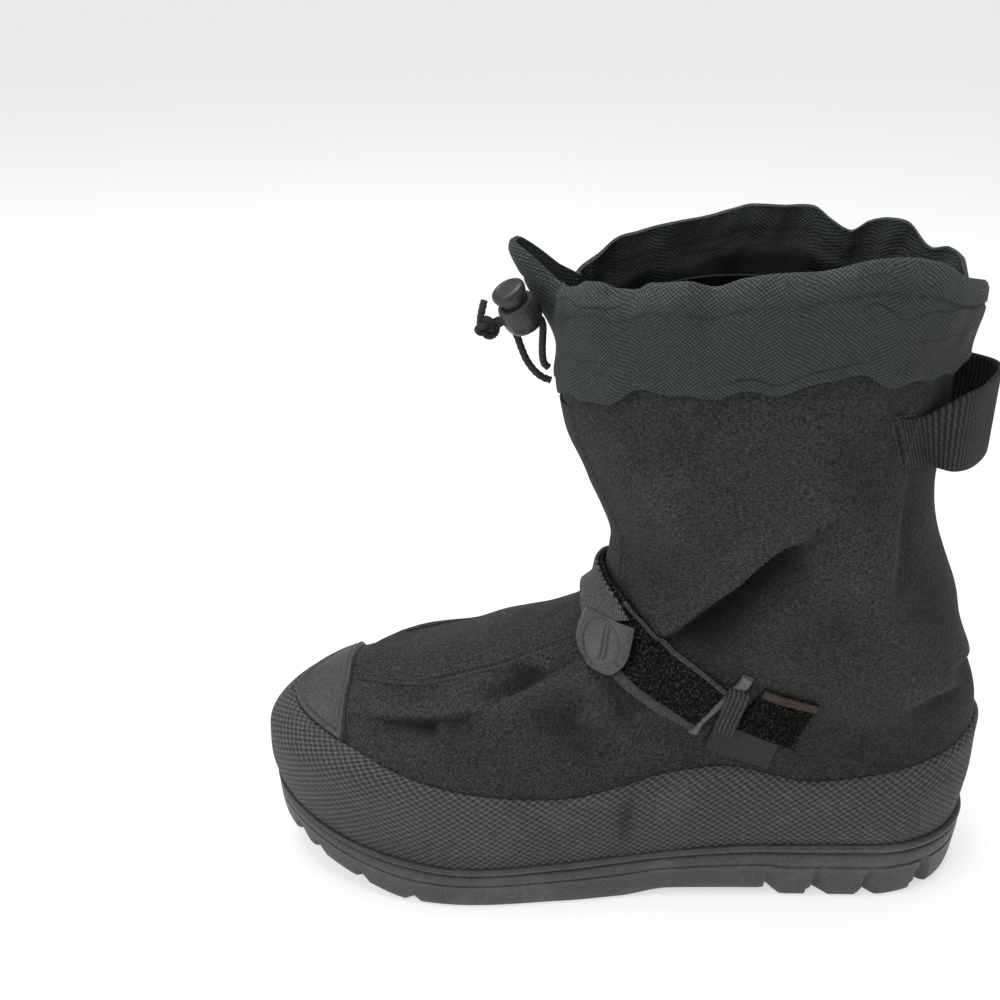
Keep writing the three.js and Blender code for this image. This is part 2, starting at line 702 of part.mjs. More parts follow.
// A plate with rounded corners from x0 to x1, with softened edges.
function plate(x0, x1, wide, thick, corner, soft) {
  const half = wide / 2 - soft;
  const shape = new THREE.Shape();
  const left = x0 + soft;
  const right = x1 - soft;
  shape.moveTo(left + corner, -half);
  shape.lineTo(right - corner, -half);
  shape.quadraticCurveTo(right, -half, right, -half + corner);
  shape.lineTo(right, half - corner);
  shape.quadraticCurveTo(right, half, right - corner, half);
  shape.lineTo(left + corner, half);
  shape.quadraticCurveTo(left, half, left, half - corner);
  shape.lineTo(left, -half + corner);
  shape.quadraticCurveTo(left, -half, left + corner, -half);
  const flat = new THREE.ExtrudeGeometry(shape, {
    depth: thick - 2 * soft, bevelSize: soft, bevelThickness: soft, bevelSegments: 2, curveSegments: 3,
  });
  flat.translate(0, 0, soft);
  return fromGeometry(flat);
}

// A box given by its low and high corners.
function box(low, high) {
  return wasm.Manifold.cube(high.map((v, i) => v - low[i])).translate(low);
}

// Moves a manifold by a three.js matrix.
function placed(solid, matrix) {
  return solid.transform(Array.from(matrix.elements));
}

function buckleSocket() {
  let solid = plate(0, SOCKET_LONG, BUCKLE_WIDE, BUCKLE_THICK, 5, 1);
  solid = solid.subtract(box([-1, -12, 2.2], [23, 12, 6.8]));
  solid = solid.subtract(box([27, -13.5, -1], [30, 13.5, BUCKLE_THICK + 1]));
  for (const side of [-1, 1]) {
    const ys = [side * 10.8, side * 20].sort((a, b) => a - b);
    solid = solid.subtract(box([7.4, ys[0], -1], [20.6, ys[1], BUCKLE_THICK + 1]));
  }
  return placed(solid, buckleMatrix());
}

function buckleLadder() {
  let solid = plate(-LADDER_LONG, -0.4, BUCKLE_WIDE, BUCKLE_THICK - 1, 3, 1);
  for (const at of [-18.2, -10.6]) {
    solid = solid.subtract(box([at, -13.5, -1], [at + 4.6, 13.5, BUCKLE_THICK]));
  }
  solid = solid.add(box([-2, -2.5, 2.7], [17, 2.5, 6.3]));
  for (const side of [-1, 1]) {
    const arm = [side * 8.6, side * 11.4].sort((a, b) => a - b);
    const pad = [side * 11.2, side * 17.4].sort((a, b) => a - b);
    solid = solid.add(box([-2, arm[0], 2.7], [20, arm[1], 6.3]));
    solid = solid.add(box([8, pad[0], 1.2], [20, pad[1], BUCKLE_THICK - 1.2]));
  }
  return placed(solid, buckleMatrix());
}

// Collar: share of its height, how far its outside and inside stand off the upper.
const COLLAR_SIDE = table(['share', 'out', 'in'], [
  [0.00, 2.9, GAP], [0.08, 3.3, GAP], [0.30, 3.1, GAP], [0.52, 3.7, GAP], [0.68, 4.2, 1.8],
  [0.90, 3.9, 1.5], [1.00, 2.6, 0.8],
]);
const HEM_STEP = 11;
const HEM_BACK = 0.38;

// Gathers of the cord casing round the rim: angle, how far up and out, and how wide.
const GATHERS = table(['turn', 'up', 'out', 'wide'], [
  [-8, 17, 8, 7], [22, -4, -2, 12], [50, 3, 1, 12], [68, -3, -2.5, 10], [100, 2, 1, 14],
  [128, 3, 1.5, 12], [150, 2, 2, 8], [172, -6, -3, 10], [196, 5, -3, 12], [222, -5, -3, 10],
  [246, 4, 2, 14], [268, 3, 1, 12], [290, -1, -3, 10], [315, -6, 0, 14], [336, -7, -2, 9],
]);

function collarPoint(turn, share, stand) {
  const back = (1 - Math.cos(turn)) / 2;
  const hem = HEM_STEP + HEM_BACK * back;
  const step = hem + (TOP - hem) * share;
  const pull = share * share;
  let up = 0;
  let out = 0;
  for (const gather of GATHERS) {
    const apart = ((turn * 180 / Math.PI - gather.turn + 540) % 360) - 180;
    const weight = Math.exp(-((apart / gather.wide) ** 2)) * pull;
    up += gather.up * weight;
    out += gather.out * weight;
  }
  const settled = share <= 0.5 ? 0 : out;
  const point = offset(turn, step, stand + settled * Math.min(1, (share - 0.5) * 4));
  return [point[0], point[1], point[2] + (share > 0.5 ? up : up * share)];
}

function collar() {
  const outer = COLLAR_SIDE.map((row) => TURNS.map((turn) => collarPoint(turn, row.share, row.out)));
  const inner = COLLAR_SIDE.map((row) => TURNS.map((turn) => collarPoint(turn, row.share, row.in)));
  return hollow(outer, inner);
}

// Pull loop behind the shaft: low and high edge of each row of its free run. A place is how far it is
// from the back of the hem, then shares of SHAFT and HEIGHT; sewn rows lie on the upper.
const LOOP_FREE = [
  [[1.9, 0.321, 0.717], [2.9, 0.321, 0.828]],
  [[-10.1, 0.196, 0.710], [-9.1, 0.196, 0.831]],
  [[-19.6, 0.011, 0.714], [-19.1, 0.011, 0.838]],
  [[-14.1, -0.163, 0.721], [-13.6, -0.163, 0.834]],
  [[-2.1, -0.293, 0.724], [-1.1, -0.293, 0.831]],
];
const HEM_REAR = 0.12;
const LOOP_SEWN = [[[134, 10.5], [127, 10.97]], [[146, 10.48], [139, 10.97]]];
const LOOP_SEWN_END = [[[214, 10.45], [221, 10.97]], [[226, 10.5], [233, 10.97]]];

function pullLoop() {
  const sewn = (rows) => rows.map((row) => row.map(([turn, step]) => offset(rad(turn), step, 1.3)));
  const free = LOOP_FREE.map((row) => row.map(([back, across, up]) => (
    [xAt(HEM_REAR) + back, across * SHAFT, up * HEIGHT])));
  const rows = [...sewn(LOOP_SEWN), ...free, ...sewn(LOOP_SEWN_END)];
  const edges = [0, 1].map((end) => (
    new THREE.CatmullRomCurve3(rows.map((row) => new THREE.Vector3(...row[end])))));
  const count = 28;
  const faces = [[], []];
  for (let i = 0; i <= count; i += 1) {
    const t = i / count;
    const low = edges[0].getPoint(t);
    const high = edges[1].getPoint(t);
    const along = edges[0].getTangent(t).add(edges[1].getTangent(t));
    const out = new THREE.Vector3().crossVectors(high.clone().sub(low), along).normalize();
    for (const [n, side] of [[0, -1], [1, 1]]) {
      faces[n].push([0, 0.5, 1].map((k) => (
        low.clone().lerp(high, k).addScaledVector(out, side * WEB / 2).toArray())));
    }
  }
  return slab(faces[0], faces[1]).subtract(form(GAP));
}

// Cord lock: a barrel leaning forward, with a sprung button that slides into it.
const RIM_FRONT = 0.6;
const LOCK_STANDS_OFF = 12.4;
const LOCK_UP = 0.8828;
const LOCK_BASE = [xAt(RIM_FRONT) + LOCK_STANDS_OFF, 2.9, LOCK_UP * HEIGHT];
const LOCK_AXIS = [0.4471, 0.2521, 0.8582];
const BARREL_TALL = 13;
const BARREL_FLOOR = 1.2;
const BUTTON_TRAVEL = 2.5;
const CORD_UP = 6.8;
const CORD_SLOT = 4.4;

function lathe(profile, sides = 24) {
  const points = profile.map(([r, z]) => new THREE.Vector2(r, z));
  const turned = new THREE.LatheGeometry(points, sides);
  turned.rotateX(Math.PI / 2);
  return fromGeometry(turned);
}

// The lock's own frame: its slot runs across the axis, as nearly along the boot as the lean allows.
function leaned(solid) {
  const up = new THREE.Vector3(...LOCK_AXIS).normalize();
  const slot = new THREE.Vector3(1, 0, 0).addScaledVector(up, -up.x).normalize();
  const side = new THREE.Vector3().crossVectors(up, slot);
  return solid.transform([...slot.toArray(), 0, ...side.toArray(), 0, ...up.toArray(), 0, ...LOCK_BASE, 1]);
}

function lockBarrel() {
  const bore = 5.7;
  let solid = lathe([[0, 0], [4.6, 0], [6.5, 0.9], [7.7, 2.8], [8.2, 5], [8.3, 7.5], [8, 10.5], [7.5, 12.5],
    [7.1, BARREL_TALL], [bore, BARREL_TALL], [bore, BARREL_FLOOR], [0, BARREL_FLOOR]]);
  const slot = CORD / 2 + 0.5;
  const wide = CORD_SLOT / 2;
  solid = solid.subtract(box([-20, -wide, CORD_UP - slot], [20, wide, CORD_UP + slot]));
  solid = solid.subtract(box([-20, -wide, -2], [-3, wide, CORD_UP]));
  return leaned(solid);
}

function lockButton() {
  const neck = 5.2;
  const head = 6.6;
  const low = BARREL_FLOOR + BUTTON_TRAVEL + 0.3;
  const rest = BARREL_TALL + BUTTON_TRAVEL + 0.4;
  let solid = lathe([[0, low], [neck, low], [neck, rest], [head, rest + 0.3], [head, rest + 3.2],
    [head - 0.7, rest + 4], [0, rest + 4]]);
  const high = CORD_UP + CORD / 2 + BUTTON_TRAVEL + 0.4;
  solid = solid.subtract(box([-20, -CORD_SLOT / 2, -2], [20, CORD_SLOT / 2, high]));
  return leaned(solid);
}

// Cord routes, point by point from the lock's base.
const LOOP_ROUTE = [
  [-9.2, -2.36, -23], [-5.6, -2.5, -21.7], [-2.2, -2.6, -18.9], [0.9, -3.5, -14.8], [3.1, -5, -10.3],
  [4.8, -6.9, -6.2], [6.9, -8.6, -2.9], [9.6, -8.9, -0.6], [12, -7.3, 0.6], [13.4, -4.9, 0.7],
];
const TAIL_ROUTE = [
  [-8.1, -1.3, -17.2], [-6.3, -1.2, -15.4], [-5.6, -1.1, -12.5], [-5.4, -0.8, -8], [-5.5, -0.5, -3.5],
  [-5.5, 0.1, 0.4], [-4.7, 1, 3.4], [-2.5, 1.64, 5.6], [0.5, 1.88, 6.4], [3, 1.7, 5.8],
  [6, 1.29, 4.4], [9, 0.85, 2.9], [11.1, 0.53, 1.8], [13.5, 0.4, 0.4], [15.8, 0.3, -1], [18.1, 0.1, -1.2],
  [19.3, 0, 0.8], [19.2, 0, 4], [18.5, 0.1, 7.6], [17.8, 0.2, 10.6],
];

function cordSolid(route, steps) {
  const line = new THREE.CatmullRomCurve3(route.map((p) => new THREE.Vector3(...add(LOCK_BASE, p))));
  const shape = new THREE.Shape();
  for (let i = 0; i < 8; i += 1) {
    const angle = (i * Math.PI) / 4;
    const place = [Math.cos(angle) * CORD / 2, Math.sin(angle) * CORD / 2];
    if (i === 0) {
      shape.moveTo(...place);
    } else {
      shape.lineTo(...place);
    }
  }
  const options = { steps, extrudePath: line, bevelEnabled: false };
  return fromGeometry(new THREE.ExtrudeGeometry(shape, options));
}

function cordLoop() {
  return cordSolid(LOOP_ROUTE, 30);
}

const KNOT = [16.6, 0.3, -0.4];
const KNOT_WIDE = 4.4;

function drawcord() {
  const knot = wasm.Manifold.sphere(KNOT_WIDE, 16).scale([1, 0.7, 1]).translate(add(LOCK_BASE, KNOT));
  return cordSolid(TAIL_ROUTE, 44).add(knot);
}

const PARTS = table(['name', 'make', 'colour'], [
  ['outsole', outsole, 0x3a3836],
  ['insole', insole, 0x4a4a4c],
  ['upper', upper, 0x26242a],
  ['rand', rand, 0x45413d],
  ['toe_cap', toeCap, 0x3c3c3d],
  ['collar', collar, 0x3b4245],
  ['front_flap', frontFlap, 0x29272d],
  ['strap', strap, 0x1c1c1e],
  ['over_strap', overStrap, 0x333336],
  ['strap_tip', strapTip, 0x4b4e50],
  ['strap_anchor', strapAnchor, 0x1e1d1d],
  ['slot_ring', slotRing, 0x55585a],
  ['ribbed_tab', ribbedTab, 0x303033],
  ['label', label, 0x202224],
  ['buckle_tab', buckleTab, 0x2a2a2d],
  ['buckle_socket', buckleSocket, 0x2f3133],
  ['buckle_ladder', buckleLadder, 0x34373a],
  ['pull_loop', pullLoop, 0x2d2f32],
  ['cord_lock_barrel', lockBarrel, 0x2b2c2e],
  ['cord_lock_button', lockButton, 0x3a3b3c],
  ['cord_loop', cordLoop, 0x1d1d20],
  ['drawcord', drawcord, 0x1f1f22],
]);

// A named mesh from a manifold.
function meshOf(part) {
  const solid = part.make();
  const mesh = solid.getMesh();
  const geometry = new THREE.BufferGeometry();
  const places = new Float32Array(mesh.triVerts.length * 3);
  mesh.triVerts.forEach((vertex, i) => {
    for (let axis = 0; axis < 3; axis += 1) {
      places[i * 3 + axis] = mesh.vertProperties[vertex * mesh.numProp + axis];
    }
  });
  geometry.setAttribute('position', new THREE.BufferAttribute(places, 3));
  geometry.computeVertexNormals();
  const material = new THREE.MeshStandardMaterial({ color: part.colour, roughness: 0.85 });
  const made = new THREE.Mesh(geometry, material);
  made.name = part.name;
  return made;
}

const overshoe = new THREE.Group();
overshoe.name = 'winter_overshoe';
for (const part of PARTS) {
  overshoe.add(meshOf(part));
}

export default overshoe;
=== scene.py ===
"""Winter overshoe for a right foot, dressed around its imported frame.

The toe points to +X, the inner side of the foot to +Y and +Z is up, with the origin on the floor under
the middle of the heel. Shapes are worked out in millimetres and put into meshes in metres.
"""

import logging
from collections.abc import Callable, Sequence
from dataclasses import dataclass, field
from enum import Enum

import bmesh
import bpy
import numpy as np
from mathutils import Matrix, Vector


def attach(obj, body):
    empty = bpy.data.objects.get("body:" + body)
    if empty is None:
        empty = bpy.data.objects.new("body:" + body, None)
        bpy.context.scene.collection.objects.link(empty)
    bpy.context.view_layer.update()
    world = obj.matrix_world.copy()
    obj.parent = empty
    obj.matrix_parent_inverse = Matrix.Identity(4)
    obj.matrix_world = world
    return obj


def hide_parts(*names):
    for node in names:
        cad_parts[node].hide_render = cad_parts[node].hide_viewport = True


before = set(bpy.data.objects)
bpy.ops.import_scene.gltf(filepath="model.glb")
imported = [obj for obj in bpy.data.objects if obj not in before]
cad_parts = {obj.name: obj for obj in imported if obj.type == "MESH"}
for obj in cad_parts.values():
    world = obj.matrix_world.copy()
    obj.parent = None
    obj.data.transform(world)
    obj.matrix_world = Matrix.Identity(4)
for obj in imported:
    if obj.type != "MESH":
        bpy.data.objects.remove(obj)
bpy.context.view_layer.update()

Array = np.ndarray
Node = bpy.types.Node
Socket = bpy.types.NodeSocket
LOG = logging.getLogger("overshoe")
MM = 0.001
BODY = "overshoe"
BUTTON_BODY = "button"
GAP = 0.32
SEED = 41

# Driving sizes of the boot, millimetres
LENGTH = 325.0
BALL = 118.0
WAIST = 97.0
HEEL = 91.0
HEIGHT = 290.0
SHAFT = 92.0
HEEL_BACK = -0.169
WALL = 2.0
WEB_WIDTH = 27.0

# Half widths of the foot along its length: along, named width, medial share, lateral share.
FOOT = np.array([
    [0.00, HEEL, 0.47, 0.49],
    [0.16, HEEL, 0.49, 0.51],
    [0.30, HEEL, 0.50, 0.53],
    [0.45, WAIST, 0.49, 0.53],
    [0.58, BALL, 0.455, 0.485],
    [0.70, BALL, 0.485, 0.515],
    [0.82, BALL, 0.47, 0.50],
    [0.92, BALL, 0.45, 0.47],
    [1.00, BALL, 0.42, 0.43],
])

# Sideways swing of the middle line, height of the sole rim and of the tread: along, share of the height.
SWING = np.array([[0, 0], [0.3, 0], [0.6, 0], [0.85, 0.0103], [1, 0.0172]])
RIM = np.array([[0, 0.1069], [0.3, 0.1034], [0.5, 0.0862], [0.7, 0.0759], [0.85, 0.0931], [1, 0.1379]])
TREAD = np.array([
    [0, 0.0103], [0.05, 0], [0.27, 0], [0.30, 0.0121], [0.43, 0.0121], [0.50, 0],
    [0.79, 0], [0.86, 0.0190], [0.93, 0.0448], [1, 0.0724],
])

# Sections from the feather edge to the collar rim. Columns: front, its height, its rounding, back, its
# height, its rounding, foot share, medial, lateral, power, inset, rise on each side.
SECTIONS = np.array([
    [0.9877, np.nan, 0.271, 0.0154, np.nan, 0.142, 1.0, 0.500, 0.500, 1.0, 4.5, 0, 0],
    [0.9985, 0.186, 0.258, 0.0123, 0.145, 0.142, 1.0, 0.500, 0.500, 2.0, 3.0, 0, 0],
    [0.9969, 0.231, 0.240, 0.0092, 0.193, 0.142, 1.0, 0.500, 0.500, 2.4, 3.0, 0, 0],
    [0.9662, 0.276, 0.234, 0.0092, 0.234, 0.142, 1.0, 0.500, 0.500, 2.6, 5.5, 0, 0],
    [0.9077, 0.307, 0.246, 0.0092, 0.276, 0.148, 0.9, 0.478, 0.478, 2.6, 8.0, 0, 0],
    [0.8000, 0.338, 0.265, 0.0123, 0.310, 0.154, 0.7, 0.457, 0.457, 2.6, 8.0, 0, 0],
    [0.6769, 0.383, 0.283, 0.0215, 0.348, 0.166, 0.5, 0.457, 0.457, 2.6, 5.0, 0, 0],
    [0.5754, 0.428, 0.262, 0.0369, 0.390, 0.178, 0.3, 0.467, 0.467, 2.6, 2.0, 0, 0],
    [0.5262, 0.486, 0.215, 0.0523, 0.438, 0.191, 0.1, 0.478, 0.478, 2.0, 0.0, 0, 0],
    [0.5231, 0.559, 0.209, 0.0738, 0.514, 0.197, 0.0, 0.489, 0.489, 1.5, 0.0, 0, 0],
    [0.5569, 0.662, 0.215, 0.1138, 0.648, 0.203, 0.0, 0.500, 0.500, 1.2, 0.0, 2, 3],
    [0.5969, 0.800, 0.234, 0.1200, 0.793, 0.215, 0.0, 0.500, 0.500, 1.0, 0.0, 8, 12],
    [0.6000, 0.938, 0.240, 0.1077, 0.938, 0.222, 0.0, 0.500, 0.500, 1.0, 0.0, 14, 21],
])
TOP = len(SECTIONS) - 1

# Broad folds of the frame: turn and step of both ends, how deep and how wide.
FOLDS = np.array([
    [46, 7.9, 70, 9.2, 5.5, 13],
    [68, 9.1, 98, 9.9, 6.0, 15],
    [34, 4.2, 42, 5.4, 2.2, 6],
    [42, 5.4, 38, 6.4, 2.6, 7],
    [292, 9.9, 298, 7.4, 5.0, 12],
    [318, 4.4, 290, 6.6, 3.0, 7],
])


def unit(vectors: Array) -> Array:
    """Vectors scaled to length one along the last axis."""
    return vectors / np.maximum(np.linalg.norm(vectors, axis=-1, keepdims=True), 1e-12)


def smoothstep(low: float, high: float, value: Array) -> Array:
    """Share from 0 at low to 1 at high, level at both ends: 3 t squared less 2 t cubed."""
    share = np.clip((value - low) / (high - low), 0, 1)
    return share * share * (3 - 2 * share)


def bell(value: Array, width: Array | float) -> Array:
    """Bell curve, 1 at zero: e to the minus square of value over width."""
    return np.exp(-((value / width) ** 2))


def end_slope(wide: Array, wide_next: Array, rate: Array, rate_next: Array) -> Array:
    """Slope at the end of a monotone curve, from its two nearest spans.

    Args:
        wide: Width of the end span.
        wide_next: Width of the next span.
        rate: Rise per width over the end span.
        rate_next: Rise per width over the next span.

    Returns:
        The three-point slope, kept from overshooting.
    """
    slope = ((2 * wide + wide_next) * rate - wide * rate_next) / (wide + wide_next)
    slope = np.where((rate * rate_next <= 0) & (np.abs(slope) > 3 * np.abs(rate)), 3 * rate, slope)
    return np.where(slope * rate <= 0, 0.0, slope)


def monotone(xs: Array, ys: Array, x: Array, own: Array | None = None) -> Array:
    """Value at x of the smooth curve through points that never overshoots them.

    Args:
        xs: Rising places of the points.
        ys: Values there, one column of them or one for every x with its own axes after it.
        x: Where the curve is wanted.
        own: Which of the columns each x belongs to, where there are more x than columns.

    Returns:
        Hermite curve with harmonic-mean slopes, evaluated at x.
    """
    wide = np.diff(xs).reshape((-1,) + (1,) * (ys.ndim - 1))
    rate = np.diff(ys, axis=0) / wide
    slope = np.zeros_like(ys)
    before = 2 * wide[1:] + wide[:-1]
    after = wide[1:] + 2 * wide[:-1]
    same = rate[:-1] * rate[1:] > 0
    safe_low = np.where(same, rate[:-1], 1.0)
    safe_high = np.where(same, rate[1:], 1.0)
    slope[1:-1] = np.where(same, (before + after) / (before / safe_low + after / safe_high), 0.0)
    slope[0] = end_slope(wide[0], wide[1], rate[0], rate[1])
    slope[-1] = end_slope(wide[-1], wide[-2], rate[-1], rate[-2])
    span = np.searchsorted(xs[1:-1], x)
    width = np.diff(xs)[span]
    t = np.clip((x - xs[span]) / width, 0, 1)
    rise = t * t * (3 - 2 * t)
    lean_low = t * (1 - t) ** 2 * width
    lean_high = t * t * (1 - t) * width
    if ys.ndim == 1:
        low, high, start, end = ys[span], ys[span + 1], slope[span], slope[span + 1]
    else:
        own = np.arange(len(x)) if own is None else own
        low, high = ys[span, own], ys[span + 1, own]
        start, end = slope[span, own], slope[span + 1, own]
        extra = (-1,) + (1,) * (ys.ndim - 2)
        rise, lean_low, lean_high = (v.reshape(extra) for v in (rise, lean_low, lean_high))
    return low * (1 - rise) + high * rise + lean_low * start - lean_high * end


def curve(table: Array, column: int = 1, scale: float = 1.0) -> Callable[[Array], Array]:
    """Smooth curve through one column of a table, over its first column."""
    xs = table[:, 0].astype(float)
    ys = table[:, column].astype(float) * scale
    return lambda x: monotone(xs, ys, np.asarray(x, float))


SWING_AT = curve(SWING, 1, HEIGHT)
RIM_AT = curve(RIM, 1, HEIGHT)
TREAD_AT = curve(TREAD, 1, HEIGHT)
FOOT_MEDIAL = curve(np.column_stack([FOOT[:, 0], FOOT[:, 1] * FOOT[:, 2]]))
FOOT_LATERAL = curve(np.column_stack([FOOT[:, 0], FOOT[:, 1] * FOOT[:, 3]]))


def x_at(share: Array | float) -> Array:
    """Place along the boot of a share of its length."""
    return LENGTH * (np.asarray(share, float) + HEEL_BACK)


def share_at(x: Array) -> Array:
    """Share of the length at a place along the boot."""
    return np.clip(x / LENGTH - HEEL_BACK, 0, 1)


def quarter(u: Array) -> Array:
    """Quarter-round share, the root of 2 u less u squared: 0 at the tip and 1 a full round from it."""
    t = np.clip(u, 0, 1)
    return np.sqrt(2 * t - t * t)


def sections_at(turn: Array) -> Array:
    """Points of all the sections at angles round them: each runs from its back to its front as the
    cosine of the angle, its half width is the foot's or the shaft's, rounded off at both ends."""
    front, front_up, front_round, back, back_up, back_round, foot, medial, lateral, power, inset, \
        rise_medial, rise_lateral = (column[:, None] for column in SECTIONS.T)
    front = x_at(front)
    back = x_at(back)
    s = np.clip((1 + np.cos(turn)) / 2, 0, 1)
    side = np.sin(turn)
    x = back + (front - back) * s
    share = share_at(x)
    inner = side >= 0
    foot_half = np.where(inner, FOOT_MEDIAL(share), FOOT_LATERAL(share))
    half = foot * foot_half + (1 - foot) * SHAFT * np.where(inner, medial, lateral) - inset
    ends = quarter((front - x) / (front_round * LENGTH)) * quarter((x - back) / (back_round * LENGTH))
    y = SWING_AT(share) * foot + half * ends * np.sign(np.round(side * 1e9))
    low = back_up * HEIGHT
    up = np.where(np.isnan(front_up), RIM_AT(share) + GAP, low + (front_up * HEIGHT - low) * s ** power)
    return np.stack([x, y, up + np.where(inner, rise_medial, rise_lateral) * side * side], -1)


def plain(turn: Array, step: Array) -> Array:
    """The boot's surface before folds: a smooth curve up through the sections at each angle."""
    few, own = np.unique(turn, return_inverse=True)
    return monotone(np.arange(TOP + 1.0), sections_at(few), step, own)


def outward(surface: Callable[[Array, Array], Array], turn: Array, step: Array) -> Array:
    """Outward direction of a surface of turn and step: the cross product of its two slopes."""
    small = 0.01
    low = np.maximum(0, step - small)
    high = np.minimum(TOP, step + small)
    along = surface(turn + small, step) - surface(turn - small, step)
    up = surface(turn, high) - surface(turn, low)
    return unit(np.cross(along, up))


FOLD_FROM = plain(np.radians(FOLDS[:, 0]), FOLDS[:, 1])
FOLD_TO = plain(np.radians(FOLDS[:, 2]), FOLDS[:, 3])


def fold_depth(points: Array) -> Array:
    """How far points are pushed in by the broad folds: a bell across each fold's line, deepest in its
    middle."""
    depth = np.zeros(len(points))
    for start, end, (deep, wide) in zip(FOLD_FROM, FOLD_TO, FOLDS[:, 4:]):
        line = end - start
        t = np.clip((points - start) @ line / (line @ line), 0, 1)
        away = np.linalg.norm(points - start - t[:, None] * line, axis=1)
        depth += deep * bell(away, wide) * np.sqrt(0.25 + 3 * t * (1 - t))
    return np.minimum(depth, 8)


def skin(turn: Array, step: Array) -> Array:
    """The frame's outer surface: the plain one pushed in by the broad folds."""
    points = plain(turn, step)
    return points - outward(plain, turn, step) * fold_depth(points)[:, None]


def waves(points: Array, length: float, seed: int, count: int = 7) -> Array:
    """Soft swelling between about -1 and 1: a sum of sine waves of about one length, in directions and
    phases drawn from a seed."""
    draw = np.random.default_rng(seed)
    ways = unit(draw.normal(size=(count, 3))) * 2 * np.pi / length
    ways *= draw.uniform(0.7, 1.5, (count, 1))
    return np.sin(points @ ways.T + draw.uniform(0, 6.28, count)).sum(1) / np.sqrt(count) / 1.2


@dataclass(frozen=True)
class Crease:
    """One sharp fold in the cloth along a line on the surface.

    The cloth rises to a crest on one side of the line, drops beside it and comes back slowly.

    Attributes:
        path: Turn in degrees and step of the points that the line runs through.
        crest: How far the crest stands out.
        crest_wide: How wide the crest is on the side away from the drop.
        deep: How deep the drop is.
        drop: How far from the line the drop is deepest.
        tail: How wide the way back up is.
        below: 1 where the drop is to the right of the line's direction seen from outside, else -1.
        lean: How far the crest is drawn over the drop.
    """

    path: tuple[tuple[float, float], ...]
    crest: float = 1.0
    crest_wide: float = 8.0
    deep: float = 2.0
    drop: float = 4.0
    tail: float = 14.0
    below: float = 1.0
    lean: float = 0.0

    def relief(self, points: Array) -> tuple[Array, Array]:
        """How far points move out, and how they are drawn over the drop.

        The distance to the line, its side and how near its ends are give both: a bell for the crest, a
        smooth step and a slow bell for the drop, both fading towards the line's ends.
        """
        line = spline(np.array(self.path), 160)
        turn, step = np.radians(line[:, 0]), line[:, 1]
        on = plain(turn, step)
        ahead = unit(np.gradient(on, axis=0))
        right = unit(np.cross(ahead, outward(plain, turn, step))) * self.below
        reach = 3 * max(self.tail, self.crest_wide)
        inside = (points > on.min(0) - reach) & (points < on.max(0) + reach)
        close = np.flatnonzero(inside.all(1))
        height = np.zeros(len(points))
        drawn = np.zeros((len(points), 3))
        if not len(close):
            return height, drawn
        near = ((on * on).sum(1)[None] - 2 * points[close] @ on.T).argmin(1)
        gap = points[close] - on[near]
        side = np.einsum("ij,ij->i", gap, right[near])
        last = (near == 0) | (near == len(line) - 1)
        past = np.einsum("ij,ij->i", gap, ahead[near]) * last
        signed = np.where(side >= 0, 1, -1) * np.hypot(side, past)
        share = np.clip(near / (len(line) - 1), 0.02, 0.98)
        taper = np.sqrt(np.sin(np.pi * share))
        away = signed < 0
        crest = np.where(away, bell(signed, self.crest_wide), bell(signed, self.drop * 0.6))
        floor = smoothstep(0, self.drop, signed) * bell(np.maximum(signed - self.drop, 0), self.tail)
        height[close] = (self.crest * crest - self.deep * floor) * taper
        pull = np.where(away, bell(signed, self.crest_wide * 0.5), bell(signed, self.drop * 0.8))
        drawn[close] = right[near] * (self.lean * taper * pull)[:, None]
        return height, drawn


# Sharp folds of the cloth.
CREASES = (
    Crease(((41, 7.55), (50, 8.2), (59, 8.75), (71, 9.25), (84, 9.62), (97, 9.85)),
           2.6, 10, 6.2, 4, 13, 1, 2.6),
    Crease(((29, 4.02), (35, 4.40), (40, 4.75), (42, 5.05)), 1.6, 7, 3.4, 3, 8, 1, 1.0),
    Crease(((41.5, 4.95), (43, 5.3), (42, 5.7), (39, 6.25), (36, 6.7)), 1.3, 6, 1.9, 2.2, 6, -1, 0.8),
    Crease(((39, 4.62), (43, 4.44), (49, 4.12)), 1.2, 5, 2.0, 3, 7, 1, 0.5),
    Crease(((128, 6.2), (142, 6.5), (156, 6.4)), 1.2, 9, 2.0, 5, 12, 1),
    Crease(((62, 5.6), (66, 5.1), (72, 4.6)), 0.8, 9, 1.5, 5, 11, 1),
    Crease(((52, 6.1), (66, 5.5), (80, 4.6)), 0.7, 8, 1.4, 5, 12, -1),
    Crease(((24, 5.9), (31, 6.1), (38, 6.0)), 0.8, 6, 1.6, 3, 8, 1),
    Crease(((-30, 4.4), (-45, 5.0), (-60, 5.8), (-70, 6.2)), 1.2, 7, 2.2, 4, 10, -1, 0.6),
    Crease(((-64, 7.4), (-70, 8.6), (-80, 10.4)), 1.8, 8, 3.6, 5, 14, 1, 1.5),
    Crease(((150, 7.4), (165, 7.1), (182, 7.0)), 1.2, 9, 2.4, 5, 13, 1),
    Crease(((-120, 7.3), (-140, 7.1), (-165, 7.2)), 1.0, 9, 2.0, 5, 13, -1),
    Crease(((120, 9.2), (130, 9.9), (134, 10.6)), 0.8, 8, 1.5, 5, 12, 1),
)


# Soft swelling of the cloth: height, length and seed of each set of waves.
SWELLING = ((0.8, 52, SEED), (0.3, 21, SEED + 1))


